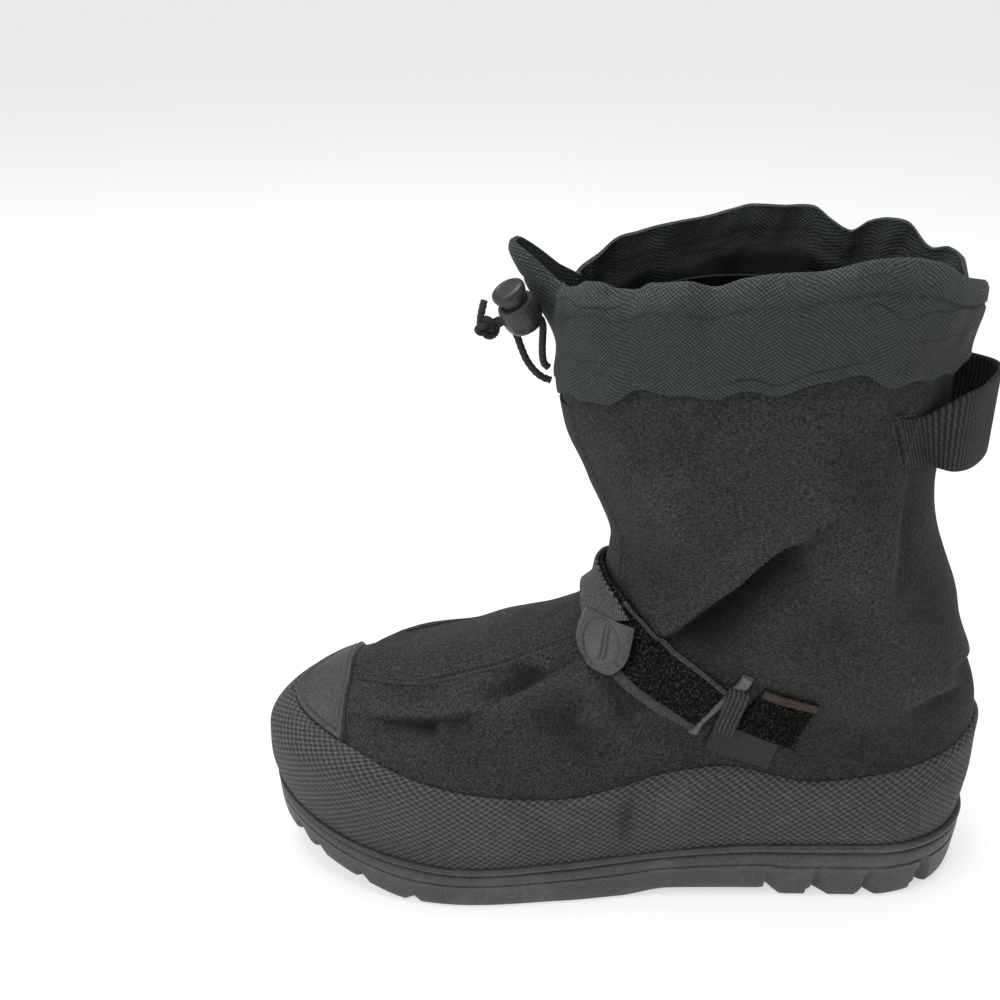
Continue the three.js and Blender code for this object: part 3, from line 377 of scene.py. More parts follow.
def relief(step: Array, points: Array) -> tuple[Array, Array]:
    """How far the cloth stands off the frame's surface and is drawn along it: sharp creases and a soft
    swelling, both fading out at the sole and under the collar."""
    shown = smoothstep(2.6, 4.4, step) * (1 - smoothstep(10.4, 11.2, step))
    parts = [crease.relief(points) for crease in CREASES]
    height = sum(part[0] for part in parts)
    for tall, length, seed in SWELLING:
        height = height + tall * waves(points, length, seed)
    return height * shown, sum(part[1] for part in parts) * shown[:, None]


def cloth(turn: Array, step: Array, lift: Array | float = 0.0, creased: bool = True) -> Array:
    """The dressed boot's surface, moved out along its normal; the lowest row stays level on the sole.

    Args:
        turn: Angles round the boot from the toe, over the inner side, in radians.
        step: Heights by section number.
        lift: How far above the surface, in millimetres.
        creased: Whether the sharp creases and swelling are added.

    Returns:
        Points in millimetres.
    """
    turn, step, lift = np.broadcast_arrays(*(np.asarray(v, float) for v in (turn, step, lift)))
    shape = turn.shape
    turn, step, lift = turn.ravel(), step.ravel(), lift.ravel()
    normal = outward(skin, turn, step)
    normal[step <= 0, 2] = 0
    normal = unit(normal)
    base = skin(turn, step)
    more, drawn = relief(step, base) if creased else (0.0, 0.0)
    points = base + normal * (lift + more)[:, None] + drawn
    level = step <= 0
    points[level, 2] = RIM_AT(share_at(points[level, 0])) + GAP
    return points.reshape(shape + (3,))


def spline(points: Array, count: int, closed: bool = False) -> Array:
    """Points along a smooth curve through the given ones, evenly spread over its own parameter.

    Args:
        points: Points to pass through, one a row.
        count: How many points come back.
        closed: Whether the curve joins up with its start.

    Returns:
        Catmull-Rom curve: on each span a cubic that leaves along the line between its neighbours.
    """
    points = np.asarray(points, float)
    if closed:
        padded = np.vstack([points[-1:], points, points[:2]])
        spans = len(points)
    else:
        first = 2 * points[0] - points[1]
        last = 2 * points[-1] - points[-2]
        padded = np.vstack([first, points, last])
        spans = len(points) - 1
    place = np.linspace(0, spans, count, endpoint=not closed)
    span = np.minimum(place.astype(int), spans - 1)
    t = (place - span)[:, None]
    a, b, c, d = (padded[span + k] for k in range(4))
    return 0.5 * (2 * b + (c - a) * t + (2 * a - 5 * b + 4 * c - d) * t ** 2
                  + (3 * b - a - 3 * c + d) * t ** 3)


def lengths(points: Array) -> Array:
    """Length along a line up to each of its points."""
    return np.concatenate([[0], np.cumsum(np.linalg.norm(np.diff(points, axis=0), axis=1))])


def evenly(points: Array, count: int) -> Array:
    """The same line with points at equal lengths along it."""
    run = lengths(points)
    want = np.linspace(0, run[-1], count)
    return np.stack([np.interp(want, run, column) for column in points.T], -1)


def walk(turn: Array, step: Array, ways: Array, distance: Array, parts: int = 4) -> tuple[Array, Array]:
    """Moves over the surface from turn and step in given directions.

    Each part solves for the change in turn and step whose slopes add up to the way wanted.

    Args:
        turn: Start angles.
        step: Start steps.
        ways: Directions in space, one for each start.
        distance: How far each goes, in millimetres.
        parts: How many parts the way is cut into.

    Returns:
        The new turns and steps.
    """
    small = 0.01
    for _ in range(parts):
        here = skin(turn, step)
        u = (skin(turn + small, step) - here) / small
        v = (skin(turn, step + small) - here) / small
        uu, uv, vv = (np.einsum("ij,ij->i", *pair) for pair in ((u, u), (u, v), (v, v)))
        su = np.einsum("ij,ij->i", u, ways) * distance / parts
        sv = np.einsum("ij,ij->i", v, ways) * distance / parts
        det = uu * vv - uv * uv
        turn = turn + (su * vv - sv * uv) / det
        step = step + (sv * uu - su * uv) / det
    return turn, step


@dataclass
class Ribbon:
    """A band that follows a path over the boot.

    Attributes:
        path: Turn in degrees, step and height of the band's top face, one row a point.
        rows: How many cross-sections it has.
    """

    path: Sequence[tuple[float, float, float]]
    rows: int = 80

    def __post_init__(self) -> None:
        """Works out the middle line, its direction and the way across it."""
        raw = spline(np.array(self.path), 400)
        line = cloth(np.radians(raw[:, 0]), raw[:, 1], 0.0, creased=False)
        run = lengths(line)
        want = np.linspace(0, run[-1], self.rows)
        self.run = want
        self.turn, self.step, self.top = (np.interp(want, run, column) for column in raw.T)
        self.turn = np.radians(self.turn)
        middle = skin(self.turn, self.step)
        along = np.gradient(middle, axis=0)
        soft = np.ones(7) / 7
        padded = np.pad(along, ((3, 3), (0, 0)), mode="edge")
        along = np.stack([np.convolve(column, soft, mode="valid") for column in padded.T], -1)
        self.across = unit(np.cross(outward(skin, self.turn, self.step), unit(along)))

    def places(self, side: Array) -> tuple[Array, Array]:
        """Turn and step at distances across the band: one column for each distance.

        Args:
            side: Distances across, the same for every row or one set a row.

        Returns:
            Arrays of turns and of steps, rows by distances.
        """
        side = np.broadcast_to(side, (self.rows, np.shape(side)[-1]))
        count = side.shape[1]
        turn, step = walk(np.repeat(self.turn, count), np.repeat(self.step, count),
                          np.repeat(self.across, count, axis=0), side.ravel())
        return turn.reshape(self.rows, count), step.reshape(self.rows, count)

    def rings(self, side: Array, down: Array) -> Array:
        """Points of a cross-section carried along the path.

        Args:
            side: Distance across of each corner of the section, or one set a row.
            down: How far each corner lies under the band's top height, or one set a row.

        Returns:
            Points, rows by corners by three.
        """
        turn, step = self.places(side)
        lift = self.top[:, None] - np.broadcast_to(down, turn.shape)
        return cloth(turn, step, lift)


def web_section(width: float, thick: float, across: int = 16, crown: float = 0.0) -> tuple[Array, Array]:
    """Cross-section of a flat web with rounded edges.

    Args:
        width: Width of the web.
        thick: Thickness of the web.
        across: How many points its top face has.
        crown: How far the middle of the top stands over its edges.

    Returns:
        Distance across and depth under the top face of each corner, round the section.
    """
    radius = thick / 2
    flat = width / 2 - radius
    top = np.linspace(-flat, flat, across)
    bend = np.linspace(0, np.pi, 7)[1:-1]
    side = np.concatenate([top, flat + radius * np.sin(bend), top[::-2], -flat - radius * np.sin(bend)])
    down = np.concatenate([np.full(across, 0.0), radius - radius * np.cos(bend),
                           np.full(len(top[::-2]), thick), radius + radius * np.cos(bend)])
    bulge = crown * (1 - (2 * side / width) ** 2) * (down < thick)
    return side, down - bulge


@dataclass
class Shape:
    """Points, faces and cloth places of a mesh in the making.

    Attributes:
        points: Places in millimetres.
        faces: Corner numbers, one array for each size of face.
        uvs: Cloth place of each face corner in metres, in the order of the faces.
    """

    points: Array
    faces: list[Array] = field(default_factory=list)
    uvs: list[Array] = field(default_factory=list)

    def volume(self) -> float:
        """Signed volume: a sixth of the sum of the triple products of each face's fan."""
        total = 0.0
        for faces in self.faces:
            corners = self.points[faces]
            for k in range(1, faces.shape[1] - 1):
                total += np.einsum("ij,ij->", corners[:, 0], np.cross(corners[:, k], corners[:, k + 1]))
        return total / 6

    def facing_out(self) -> "Shape":
        """The same shape with its faces turned outwards."""
        if self.volume() < 0:
            self.faces = [faces[:, ::-1] for faces in self.faces]
            self.uvs = [uv[:, ::-1] for uv in self.uvs]
        return self


def lattice(points: Array, uv: Array | None = None, wrap_rows: bool = False, wrap_cols: bool = False,
            caps: bool = False) -> Shape:
    """Faces over a grid of points.

    Args:
        points: Grid of points, rows by columns by three.
        uv: Cloth places, one more row and column than the points where they wrap; measured if left out.
        wrap_rows: Whether the last row joins the first.
        wrap_cols: Whether the last column joins the first.
        caps: Whether the first and last row are each closed by one face.

    Returns:
        The shape, its faces turned outwards where it is closed.
    """
    rows, cols = points.shape[:2]
    if uv is None:
        uv = measured(points, wrap_rows, wrap_cols)
    i, j = np.meshgrid(np.arange(rows - (not wrap_rows)), np.arange(cols - (not wrap_cols)), indexing="ij")
    corners = [(i, j), (i, j + 1), (i + 1, j + 1), (i + 1, j)]
    faces = np.stack([(a % rows) * cols + b % cols for a, b in corners], -1).reshape(-1, 4)
    places = np.stack([uv[a, b] for a, b in corners], 2).reshape(-1, 4, 2)
    shape = Shape(points.reshape(-1, 3), [faces], [places])
    if caps:
        first = np.arange(cols)[::-1]
        last = np.arange(cols) + (rows - 1) * cols
        shape.faces.append(np.stack([first, last]))
        shape.uvs.append(np.stack([uv[0, :cols][::-1], uv[-1, :cols]]))
    return shape.facing_out()


def measured(points: Array, wrap_rows: bool, wrap_cols: bool) -> Array:
    """Cloth places of a grid in metres: the mean length along its rows, and each column's own length."""
    if wrap_rows:
        points = np.concatenate([points, points[:1]], 0)
    if wrap_cols:
        points = np.concatenate([points, points[:, :1]], 1)
    across = np.linalg.norm(np.diff(points, axis=1), axis=2).mean(0)
    along = np.linalg.norm(np.diff(points, axis=0), axis=2)
    u = np.concatenate([[0], np.cumsum(across)])
    v = np.concatenate([np.zeros((1, points.shape[1])), np.cumsum(along, axis=0)])
    return np.stack([np.broadcast_to(u, v.shape), v], -1) * MM


def joined(shapes: Sequence[Shape]) -> Shape:
    """Several shapes as one."""
    start = 0
    faces, uvs = [], []
    for shape in shapes:
        faces += [f + start for f in shape.faces]
        uvs += shape.uvs
        start += len(shape.points)
    return Shape(np.concatenate([shape.points for shape in shapes]), faces, uvs)


def copies(shape: Shape, places: Array, frames: Array) -> Shape:
    """One small shape repeated: each point is carried by each frame, as whole arrays.

    Args:
        shape: The shape to repeat.
        places: Where each copy goes.
        frames: Three directions of each copy, as rows.

    Returns:
        All the copies as one shape.
    """
    count, size = len(places), len(shape.points)
    points = np.einsum("pk,nkd->npd", shape.points, frames) + places[:, None]
    start = (np.arange(count) * size)[:, None, None]
    faces = [(f[None] + start).reshape(-1, f.shape[1]) for f in shape.faces]
    uvs = [np.tile(uv, (count, 1, 1)) for uv in shape.uvs]
    return Shape(points.reshape(-1, 3), faces, uvs)


def make_piece(name: str, shape: Shape, material: bpy.types.Material, nodes: Sequence[str] = (),
               sharp: float = 40.0, merge: float = 0.0, body: str = BODY,
               second: tuple[bpy.types.Material, int] | None = None,
               tone: Array | None = None) -> bpy.types.Object:
    """Puts a shape into a mesh object that rides on a body of the frame.

    Args:
        name: Name of the piece.
        shape: Its points, faces and cloth places.
        material: What it is dressed in.
        nodes: Frame nodes that it stands for.
        sharp: Edges bent more than this angle stay sharp, in degrees.
        merge: Distance in millimetres within which points become one; none are if it is 0.
        body: The body that it rides on.
        second: Another material and the first face that wears it.
        tone: How much darker than its finish each point is, 0 to 1, lighter below 0; it carries painted
            shade, painted highlight and the rand's dark seam line.

    Returns:
        The new object.
    """
    mesh = bpy.data.meshes.new(name)
    sizes = np.concatenate([np.full(len(f), f.shape[1]) for f in shape.faces])
    corners = np.concatenate([f.ravel() for f in shape.faces]).astype(np.int32)
    mesh.vertices.add(len(shape.points))
    mesh.vertices.foreach_set("co", (shape.points * MM).astype(np.float32).ravel())
    mesh.loops.add(len(corners))
    mesh.loops.foreach_set("vertex_index", corners)
    mesh.polygons.add(len(sizes))
    mesh.polygons.foreach_set("loop_start", np.concatenate([[0], np.cumsum(sizes)[:-1]]).astype(np.int32))
    layer = mesh.uv_layers.new(name="UVMap")
    layer.uv.foreach_set("vector", np.concatenate([uv.ravel() for uv in shape.uvs]).astype(np.float32))
    mesh.update(calc_edges=True)
    if tone is not None:
        shade = mesh.attributes.new("tone", "FLOAT", "POINT")
        shade.data.foreach_set("value", tone.astype(np.float32).ravel())
    if merge:
        work = bmesh.new()
        work.from_mesh(mesh)
        bmesh.ops.remove_doubles(work, verts=work.verts, dist=merge * MM)
        bmesh.ops.dissolve_degenerate(work, edges=work.edges, dist=merge * MM * 0.5)
        work.to_mesh(mesh)
        work.free()
    mesh.validate()
    mesh.shade_smooth()
    mesh.set_sharp_from_angle(angle=np.radians(sharp))
    mesh.materials.append(material)
    if second:
        mesh.materials.append(second[0])
        marked = (np.arange(len(mesh.polygons)) >= second[1]).astype(np.int32)
        mesh.polygons.foreach_set("material_index", marked)
    piece = bpy.data.objects.new(name, mesh)
    bpy.context.scene.collection.objects.link(piece)
    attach(piece, body)
    if nodes:
        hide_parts(*nodes)
    LOG.info("%s: %d faces", name, len(mesh.polygons))
    return piece


def frames_along(path: Array) -> tuple[Array, Array]:
    """Two directions across a path at each of its points, carried along it without twist."""
    ahead = unit(np.gradient(path, axis=0))
    start = np.array([0.0, 0, 1]) if abs(ahead[0, 2]) < 0.9 else np.array([1.0, 0, 0])
    first = np.zeros_like(path)
    first[0] = unit(start - ahead[0] * (start @ ahead[0]))
    for k in range(1, len(path)):
        carried = first[k - 1] - ahead[k] * (first[k - 1] @ ahead[k])
        first[k] = unit(carried)
    return first, np.cross(ahead, first)


def tube(path: Array, radius: Array, sides: int) -> Shape:
    """A round bar along a path: a circle carried along it, closed at both ends.

    Args:
        path: Points of its middle line.
        radius: Radius at each point.
        sides: How many sides the circle has.

    Returns:
        The closed shape.
    """
    first, second = frames_along(path)
    radius = radius[:, None, None]
    angle = np.arange(sides) * 2 * np.pi / sides
    ring = np.cos(angle)[None, :, None] * first[:, None] + np.sin(angle)[None, :, None] * second[:, None]
    points = path[:, None] + radius * ring
    run = lengths(path)
    girth = np.arange(sides + 1) / sides * 2 * np.pi * radius.mean()
    uv = np.stack(np.meshgrid(run, girth, indexing="ij"), -1)
    return lattice(points, uv * MM, wrap_cols=True, caps=True)


def stitch() -> Shape:
    """One stitch of a sewn line: a short thread that dives at both ends, a millimetre long."""
    run = np.linspace(-0.5, 0.5, 6)
    path = np.column_stack([run, 0 * run, 0.16 - 1.3 * run ** 2])
    return tube(path, 0.16 * np.sqrt(np.clip(1.05 - (2 * run) ** 2 * 0.7, 0.1, 1)), 5)


def stitches_on(path: Sequence[tuple[float, float]], pitch: float, lift: float, share: float = 0.72,
                thick: float = 1.0, aside: float = 0.0) -> Shape:
    """A row of stitches along a line on the boot.

    Args:
        path: Turn in degrees and step of the points that the line runs through.
        pitch: Distance from one stitch to the next.
        lift: Height over the surface.
        share: Share of the pitch that a stitch covers.
        thick: Thread thickness as a share of the stitch's own.
        aside: How far the row lies to the right of the line.

    Returns:
        All the stitches as one shape.
    """
    raw = spline(np.array(path), 300)
    turn, step = np.radians(raw[:, 0]), raw[:, 1]
    if aside:
        middle = skin(turn, step)
        right = unit(np.cross(unit(np.gradient(middle, axis=0)), outward(skin, turn, step)))
        turn, step = walk(turn, step, right, np.full(len(turn), aside), 2)
    return stitches_along(cloth(turn, step, lift), outward(skin, turn, step), pitch, share, thick)


def stitches_along(line: Array, normal: Array, pitch: float, share: float = 0.72,
                   thick: float = 1.0) -> Shape:
    """A row of stitches along a line in space.

    Args:
        line: Points of the line.
        normal: Outward direction at each of them.
        pitch: Distance from one stitch to the next.
        share: Share of the pitch that a stitch covers.
        thick: Thread thickness as a share of the stitch's own.

    Returns:
        All the stitches as one shape.
    """
    run = lengths(line)
    want = np.arange(pitch, run[-1] - pitch, pitch)
    places = np.stack([np.interp(want, run, column) for column in line.T], -1)
    out = unit(np.stack([np.interp(want, run, column) for column in normal.T], -1))
    slopes = np.gradient(line, axis=0)
    ahead = unit(np.stack([np.interp(want, run, column) for column in slopes.T], -1))
    side = unit(np.cross(out, ahead))
    frames = np.stack([ahead * pitch * share, side * 1.15 * thick, np.cross(ahead, side) * 1.15 * thick], 1)
    return copies(stitch(), places, frames)


class Side(Enum):
    """Which way a surface search runs."""

    HEIGHT = 2
    LENGTH = 0


def step_where(turn: Array, wanted: Callable[[Array], Array], side: Side, low: float, high: float) -> Array:
    """Step at each turn where the surface crosses a wanted height or length.

    Args:
        turn: Angles round the boot.
        wanted: Gives the excess over what is wanted, from points.
        side: Whether the height rises, or the length falls, with the step.
        low: Lowest step looked at.
        high: Highest step looked at.

    Returns:
        Steps, found by halving the span thirty times.
    """
    below = np.full(len(turn), low, float)
    above = np.full(len(turn), high, float)
    for _ in range(30):
        middle = (below + above) / 2
        over = wanted(skin(turn, middle))
        past = over > 0 if side is Side.HEIGHT else over < 0
        above = np.where(past, middle, above)
        below = np.where(past, below, middle)
    return (below + above) / 2


def level_at(table: Array) -> Callable[[Array], Array]:
    """Height of an edge over the points of the boot: its table read at their share of the length."""
    edge = curve(table, 1, HEIGHT)
    return lambda points: points[:, 2] - edge(points[:, 0] / LENGTH - HEEL_BACK)


def lofted(turn: Array, step: Array, outer: Array, inner: Array) -> Shape:
    """A closed layer on the boot between two heights over its surface, all the way round it.

    Args:
        turn: Angles, rows by columns; the columns go all the way round.
        step: Steps, rows by columns.
        outer: Height of the outer face over the surface.
        inner: Height of the inner face over the surface.

    Returns:
        The layer, its cloth places measured along it.
    """
    outside = cloth(turn, step, outer)
    inside = cloth(turn, step, inner)[::-1]
    return lattice(np.concatenate([outside, inside]), wrap_rows=True, wrap_cols=True)


# Finishes


def put(tree: bpy.types.NodeTree, kind: str, settings: dict | None = None, **sockets: object) -> Node:
    """Adds a node to a tree and joins or sets its inputs.

    Args:
        tree: The tree.
        kind: Type of the node, without the prefix ShaderNode where it has one.
        settings: Values of the node's own settings.
        sockets: Inputs by name, with spaces as underscores, or by place as s0, s1 and so on; a socket
            is joined and anything else is set.

    Returns:
        The new node.
    """
    node = tree.nodes.new(kind if kind.startswith("NodeGroup") else "ShaderNode" + kind)
    for name, value in (settings or {}).items():
        setattr(node, name, value)
    for name, value in sockets.items():
        place = node.inputs[int(name[1:])] if name[0] == "s" and name[1:].isdigit() else \
            node.inputs[name.replace("_", " ")]
        if isinstance(value, Socket):
            tree.links.new(value, place)
        else:
            place.default_value = value
    return node


def reckon(tree: bpy.types.NodeTree, operation: str, *values: object, clamp: bool = False) -> Socket:
    """Result of one Math node on sockets or numbers."""
    inputs = {f"s{k}": value for k, value in enumerate(values)}
    return put(tree, "Math", {"operation": operation, "use_clamp": clamp}, **inputs).outputs[0]


def between(tree: bpy.types.NodeTree, share: object, low: object, high: object) -> Socket:
    """A colour mixed from two by a share."""
    node = put(tree, "Mix", {"data_type": "RGBA", "clamp_factor": True}, s0=share)
    for place, value in ((6, low), (7, high)):
        if isinstance(value, Socket):
            tree.links.new(value, node.inputs[place])
        else:
            node.inputs[place].default_value = value
    return node.outputs[2]


def ranged(tree: bpy.types.NodeTree, value: object, low: float, high: float, to_low: float = 0.0,
           to_high: float = 1.0, kind: str = "SMOOTHSTEP") -> Socket:
    """A value carried from one span to another."""
    return put(tree, "MapRange", {"interpolation_type": kind}, s0=value, s1=low, s2=high, s3=to_low,
               s4=to_high).outputs[0]


def group(name: str, inputs: Sequence[tuple[str, str, object]], outputs: Sequence[tuple[str, str]],
          build: Callable[[bpy.types.NodeTree, Node], dict[str, Socket]]) -> bpy.types.NodeTree:
    """A shared effect as a node group.

    Args:
        name: Name of the group.
        inputs: Name, kind and usual value of each input; kind is Float, Vector or Color.
        outputs: Name and kind of each output.
        build: Fills the tree and gives the socket of each output by name.

    Returns:
        The group's tree.
    """
    tree = bpy.data.node_groups.new(name, "ShaderNodeTree")
    for label, kind, value in inputs:
        socket = tree.interface.new_socket(label, in_out="INPUT", socket_type="NodeSocket" + kind)
        if value is not None:
            socket.default_value = value
    for label, kind in outputs:
        tree.interface.new_socket(label, in_out="OUTPUT", socket_type="NodeSocket" + kind)
    source = tree.nodes.new("NodeGroupInput")
    sink = tree.nodes.new("NodeGroupOutput")
    for label, socket in build(tree, source).items():
        tree.links.new(socket, sink.inputs[label])
    return tree


def wave_of(tree: bpy.types.NodeTree, value: Socket, length: object) -> Socket:
    """Sine of a length along the cloth, one turn for each repeat."""
    return reckon(tree, "SINE", reckon(tree, "MULTIPLY", reckon(tree, "DIVIDE", value, length), 6.28318))


def checks_tree(tree: bpy.types.NodeTree, source: Node) -> dict[str, Socket]:
    """Staggered pebbles: the product of two sine waves, one along and one across the cloth."""
    parts = put(tree, "SeparateXYZ", s0=source.outputs["Place"])
    jitter = put(tree, "TexNoise", s0=source.outputs["Place"], Scale=source.outputs["Jitter Scale"],
                 Detail=1.0)
    centred = reckon(tree, "SUBTRACT", jitter.outputs[0], 0.5)
    shift = reckon(tree, "MULTIPLY", centred, source.outputs["Jitter"])
    across = reckon(tree, "ADD", parts.outputs[0], shift)
    along = reckon(tree, "ADD", parts.outputs[1], shift)
    product = reckon(tree, "MULTIPLY", wave_of(tree, across, source.outputs["Wide"]),
                     wave_of(tree, along, source.outputs["Tall"]))
    return {"Height": reckon(tree, "MULTIPLY_ADD", product, 0.5, 0.5)}


def twill_tree(tree: bpy.types.NodeTree, source: Node) -> dict[str, Socket]:
    """Slanting ribs of a twill: a sine wave along a slanting line, cut across by a finer one."""
    parts = put(tree, "SeparateXYZ", s0=source.outputs["Place"])
    slant = reckon(tree, "MULTIPLY_ADD", parts.outputs[1], source.outputs["Slant"], parts.outputs[0])
    rib = wave_of(tree, slant, source.outputs["Pitch"])
    thread = wave_of(tree, parts.outputs[1], source.outputs["Pitch"])
    mixed = reckon(tree, "MULTIPLY_ADD", thread, 0.35, rib)
    return {"Height": reckon(tree, "MULTIPLY_ADD", mixed, 0.37, 0.5)}


def ribs_tree(tree: bpy.types.NodeTree, source: Node) -> dict[str, Socket]:
    """Ribs across a webbing, each broken into small chevrons by the place along it."""
    parts = put(tree, "SeparateXYZ", s0=source.outputs["Place"])
    zigzag = put(tree, "Math", {"operation": "PINGPONG"}, s0=parts.outputs[1], s1=source.outputs["Pitch"])
    along = reckon(tree, "MULTIPLY_ADD", zigzag.outputs[0], 0.18, parts.outputs[0])
    rib = wave_of(tree, along, source.outputs["Pitch"])
    pick = wave_of(tree, parts.outputs[1], reckon(tree, "MULTIPLY", source.outputs["Pitch"], 0.8))
    mixed = reckon(tree, "MULTIPLY_ADD", pick, 0.25, rib)
    return {"Height": reckon(tree, "MULTIPLY_ADD", mixed, 0.4, 0.5)}


def dust_tree(tree: bpy.types.NodeTree, source: Node) -> dict[str, Socket]:
    """Dust and scuffs: patchy noise, thicker towards the floor, with fine streaks along the boot."""
    place = put(tree, "TexCoord").outputs["Object"]
    height = put(tree, "SeparateXYZ", s0=place).outputs[2]
    low = ranged(tree, height, 0.0, 0.03, 1.0, 0.0)
    patches = put(tree, "TexNoise", s0=place, Scale=source.outputs["Scale"], Detail=5.0, Roughness=0.65)
    patch = ranged(tree, patches.outputs[0], 0.46, 0.72)
    stretched = put(tree, "VectorMath", {"operation": "MULTIPLY"}, s0=place, s1=(30.0, 60.0, 600.0))
    streaks = put(tree, "TexNoise", s0=stretched.outputs[0], Scale=1.0, Detail=3.0, Roughness=0.7)
    streak = ranged(tree, streaks.outputs[0], 0.55, 0.75)
    both = reckon(tree, "MULTIPLY_ADD", patch, 0.7, reckon(tree, "MULTIPLY", streak, 0.5))
    lowered = reckon(tree, "MULTIPLY_ADD", low, 0.6, 0.4)
    whole = reckon(tree, "MULTIPLY", both, lowered)
    return {"Mask": reckon(tree, "MULTIPLY", whole, source.outputs["Amount"], clamp=True)}


def mottle_tree(tree: bpy.types.NodeTree, source: Node) -> dict[str, Socket]:
    """Uneven colour: broad patches and fine specks of noise as one value about one half."""
    place = put(tree, "TexCoord").outputs["Object"]
    broad = put(tree, "TexNoise", s0=place, Scale=source.outputs["Broad"], Detail=3.0, Roughness=0.5)
    fine = put(tree, "TexNoise", s0=place, Scale=source.outputs["Fine"], Detail=2.0, Roughness=0.6)
    half = reckon(tree, "MULTIPLY", fine.outputs[0], 0.5)
    return {"Value": reckon(tree, "MULTIPLY_ADD", broad.outputs[0], 0.5, half), "Specks": fine.outputs[0]}


def slub_tree(tree: bpy.types.NodeTree, source: Node) -> dict[str, Socket]:
    """Slub lines of a woven nylon: thin lines along the cloth at uneven heights, broken by noise."""
    parts = put(tree, "SeparateXYZ", s0=source.outputs["Place"])
    row = reckon(tree, "DIVIDE", parts.outputs[1], source.outputs["Pitch"])
    whole = reckon(tree, "FLOOR", row)
    along = reckon(tree, "MULTIPLY", parts.outputs[0], 22.0)
    drift = put(tree, "TexNoise", {"noise_dimensions": "1D"}, W=along, Scale=1.0, Detail=1.0)
    level = reckon(tree, "MULTIPLY_ADD", drift.outputs[0], 0.5, 0.2)
    away = reckon(tree, "ABSOLUTE", reckon(tree, "SUBTRACT", reckon(tree, "FRACT", row), level))
    line = ranged(tree, away, 0.02, 0.06, 1.0, 0.0)
    spread = put(tree, "CombineXYZ", s0=reckon(tree, "MULTIPLY", parts.outputs[0], 14.0),
                 s1=reckon(tree, "MULTIPLY", whole, 7.3))
    gaps = put(tree, "TexNoise", s0=spread.outputs[0], Scale=1.0, Detail=1.0)
    shown = ranged(tree, gaps.outputs[0], 0.47, 0.6)
    return {"Mask": reckon(tree, "MULTIPLY", line, shown)}


class Effects:
    """The shader node groups that the finishes share, each built once."""

    def __init__(self) -> None:
        """Builds all the groups."""
        place = ("Place", "Vector", None)
        self.checks = group("pebble_checks", [place, ("Wide", "Float", 0.004), ("Tall", "Float", 0.003),
                                              ("Jitter", "Float", 0.0008), ("Jitter Scale", "Float", 300.0)],
                            [("Height", "Float")], checks_tree)
        self.twill = group("twill_ribs", [place, ("Pitch", "Float", 0.0008), ("Slant", "Float", 1.4)],
                           [("Height", "Float")], twill_tree)
        self.ribs = group("webbing_ribs", [place, ("Pitch", "Float", 0.002)],
                          [("Height", "Float")], ribs_tree)
        self.dust = group("dust_and_scuffs", [("Amount", "Float", 0.5), ("Scale", "Float", 40.0)],
                          [("Mask", "Float")], dust_tree)
        self.mottle = group("uneven_colour", [("Broad", "Float", 20.0), ("Fine", "Float", 900.0)],
                            [("Value", "Float"), ("Specks", "Float")], mottle_tree)
        self.slubs = group("slub_lines", [place, ("Pitch", "Float", 0.011)], [("Mask", "Float")], slub_tree)


class Weave(Enum):
    """How the surface of a finish is made."""

    TWILL = "twill"
    PEBBLE = "pebble"
    RIBS = "ribs"
    PILE = "pile"
    GRAIN = "grain"


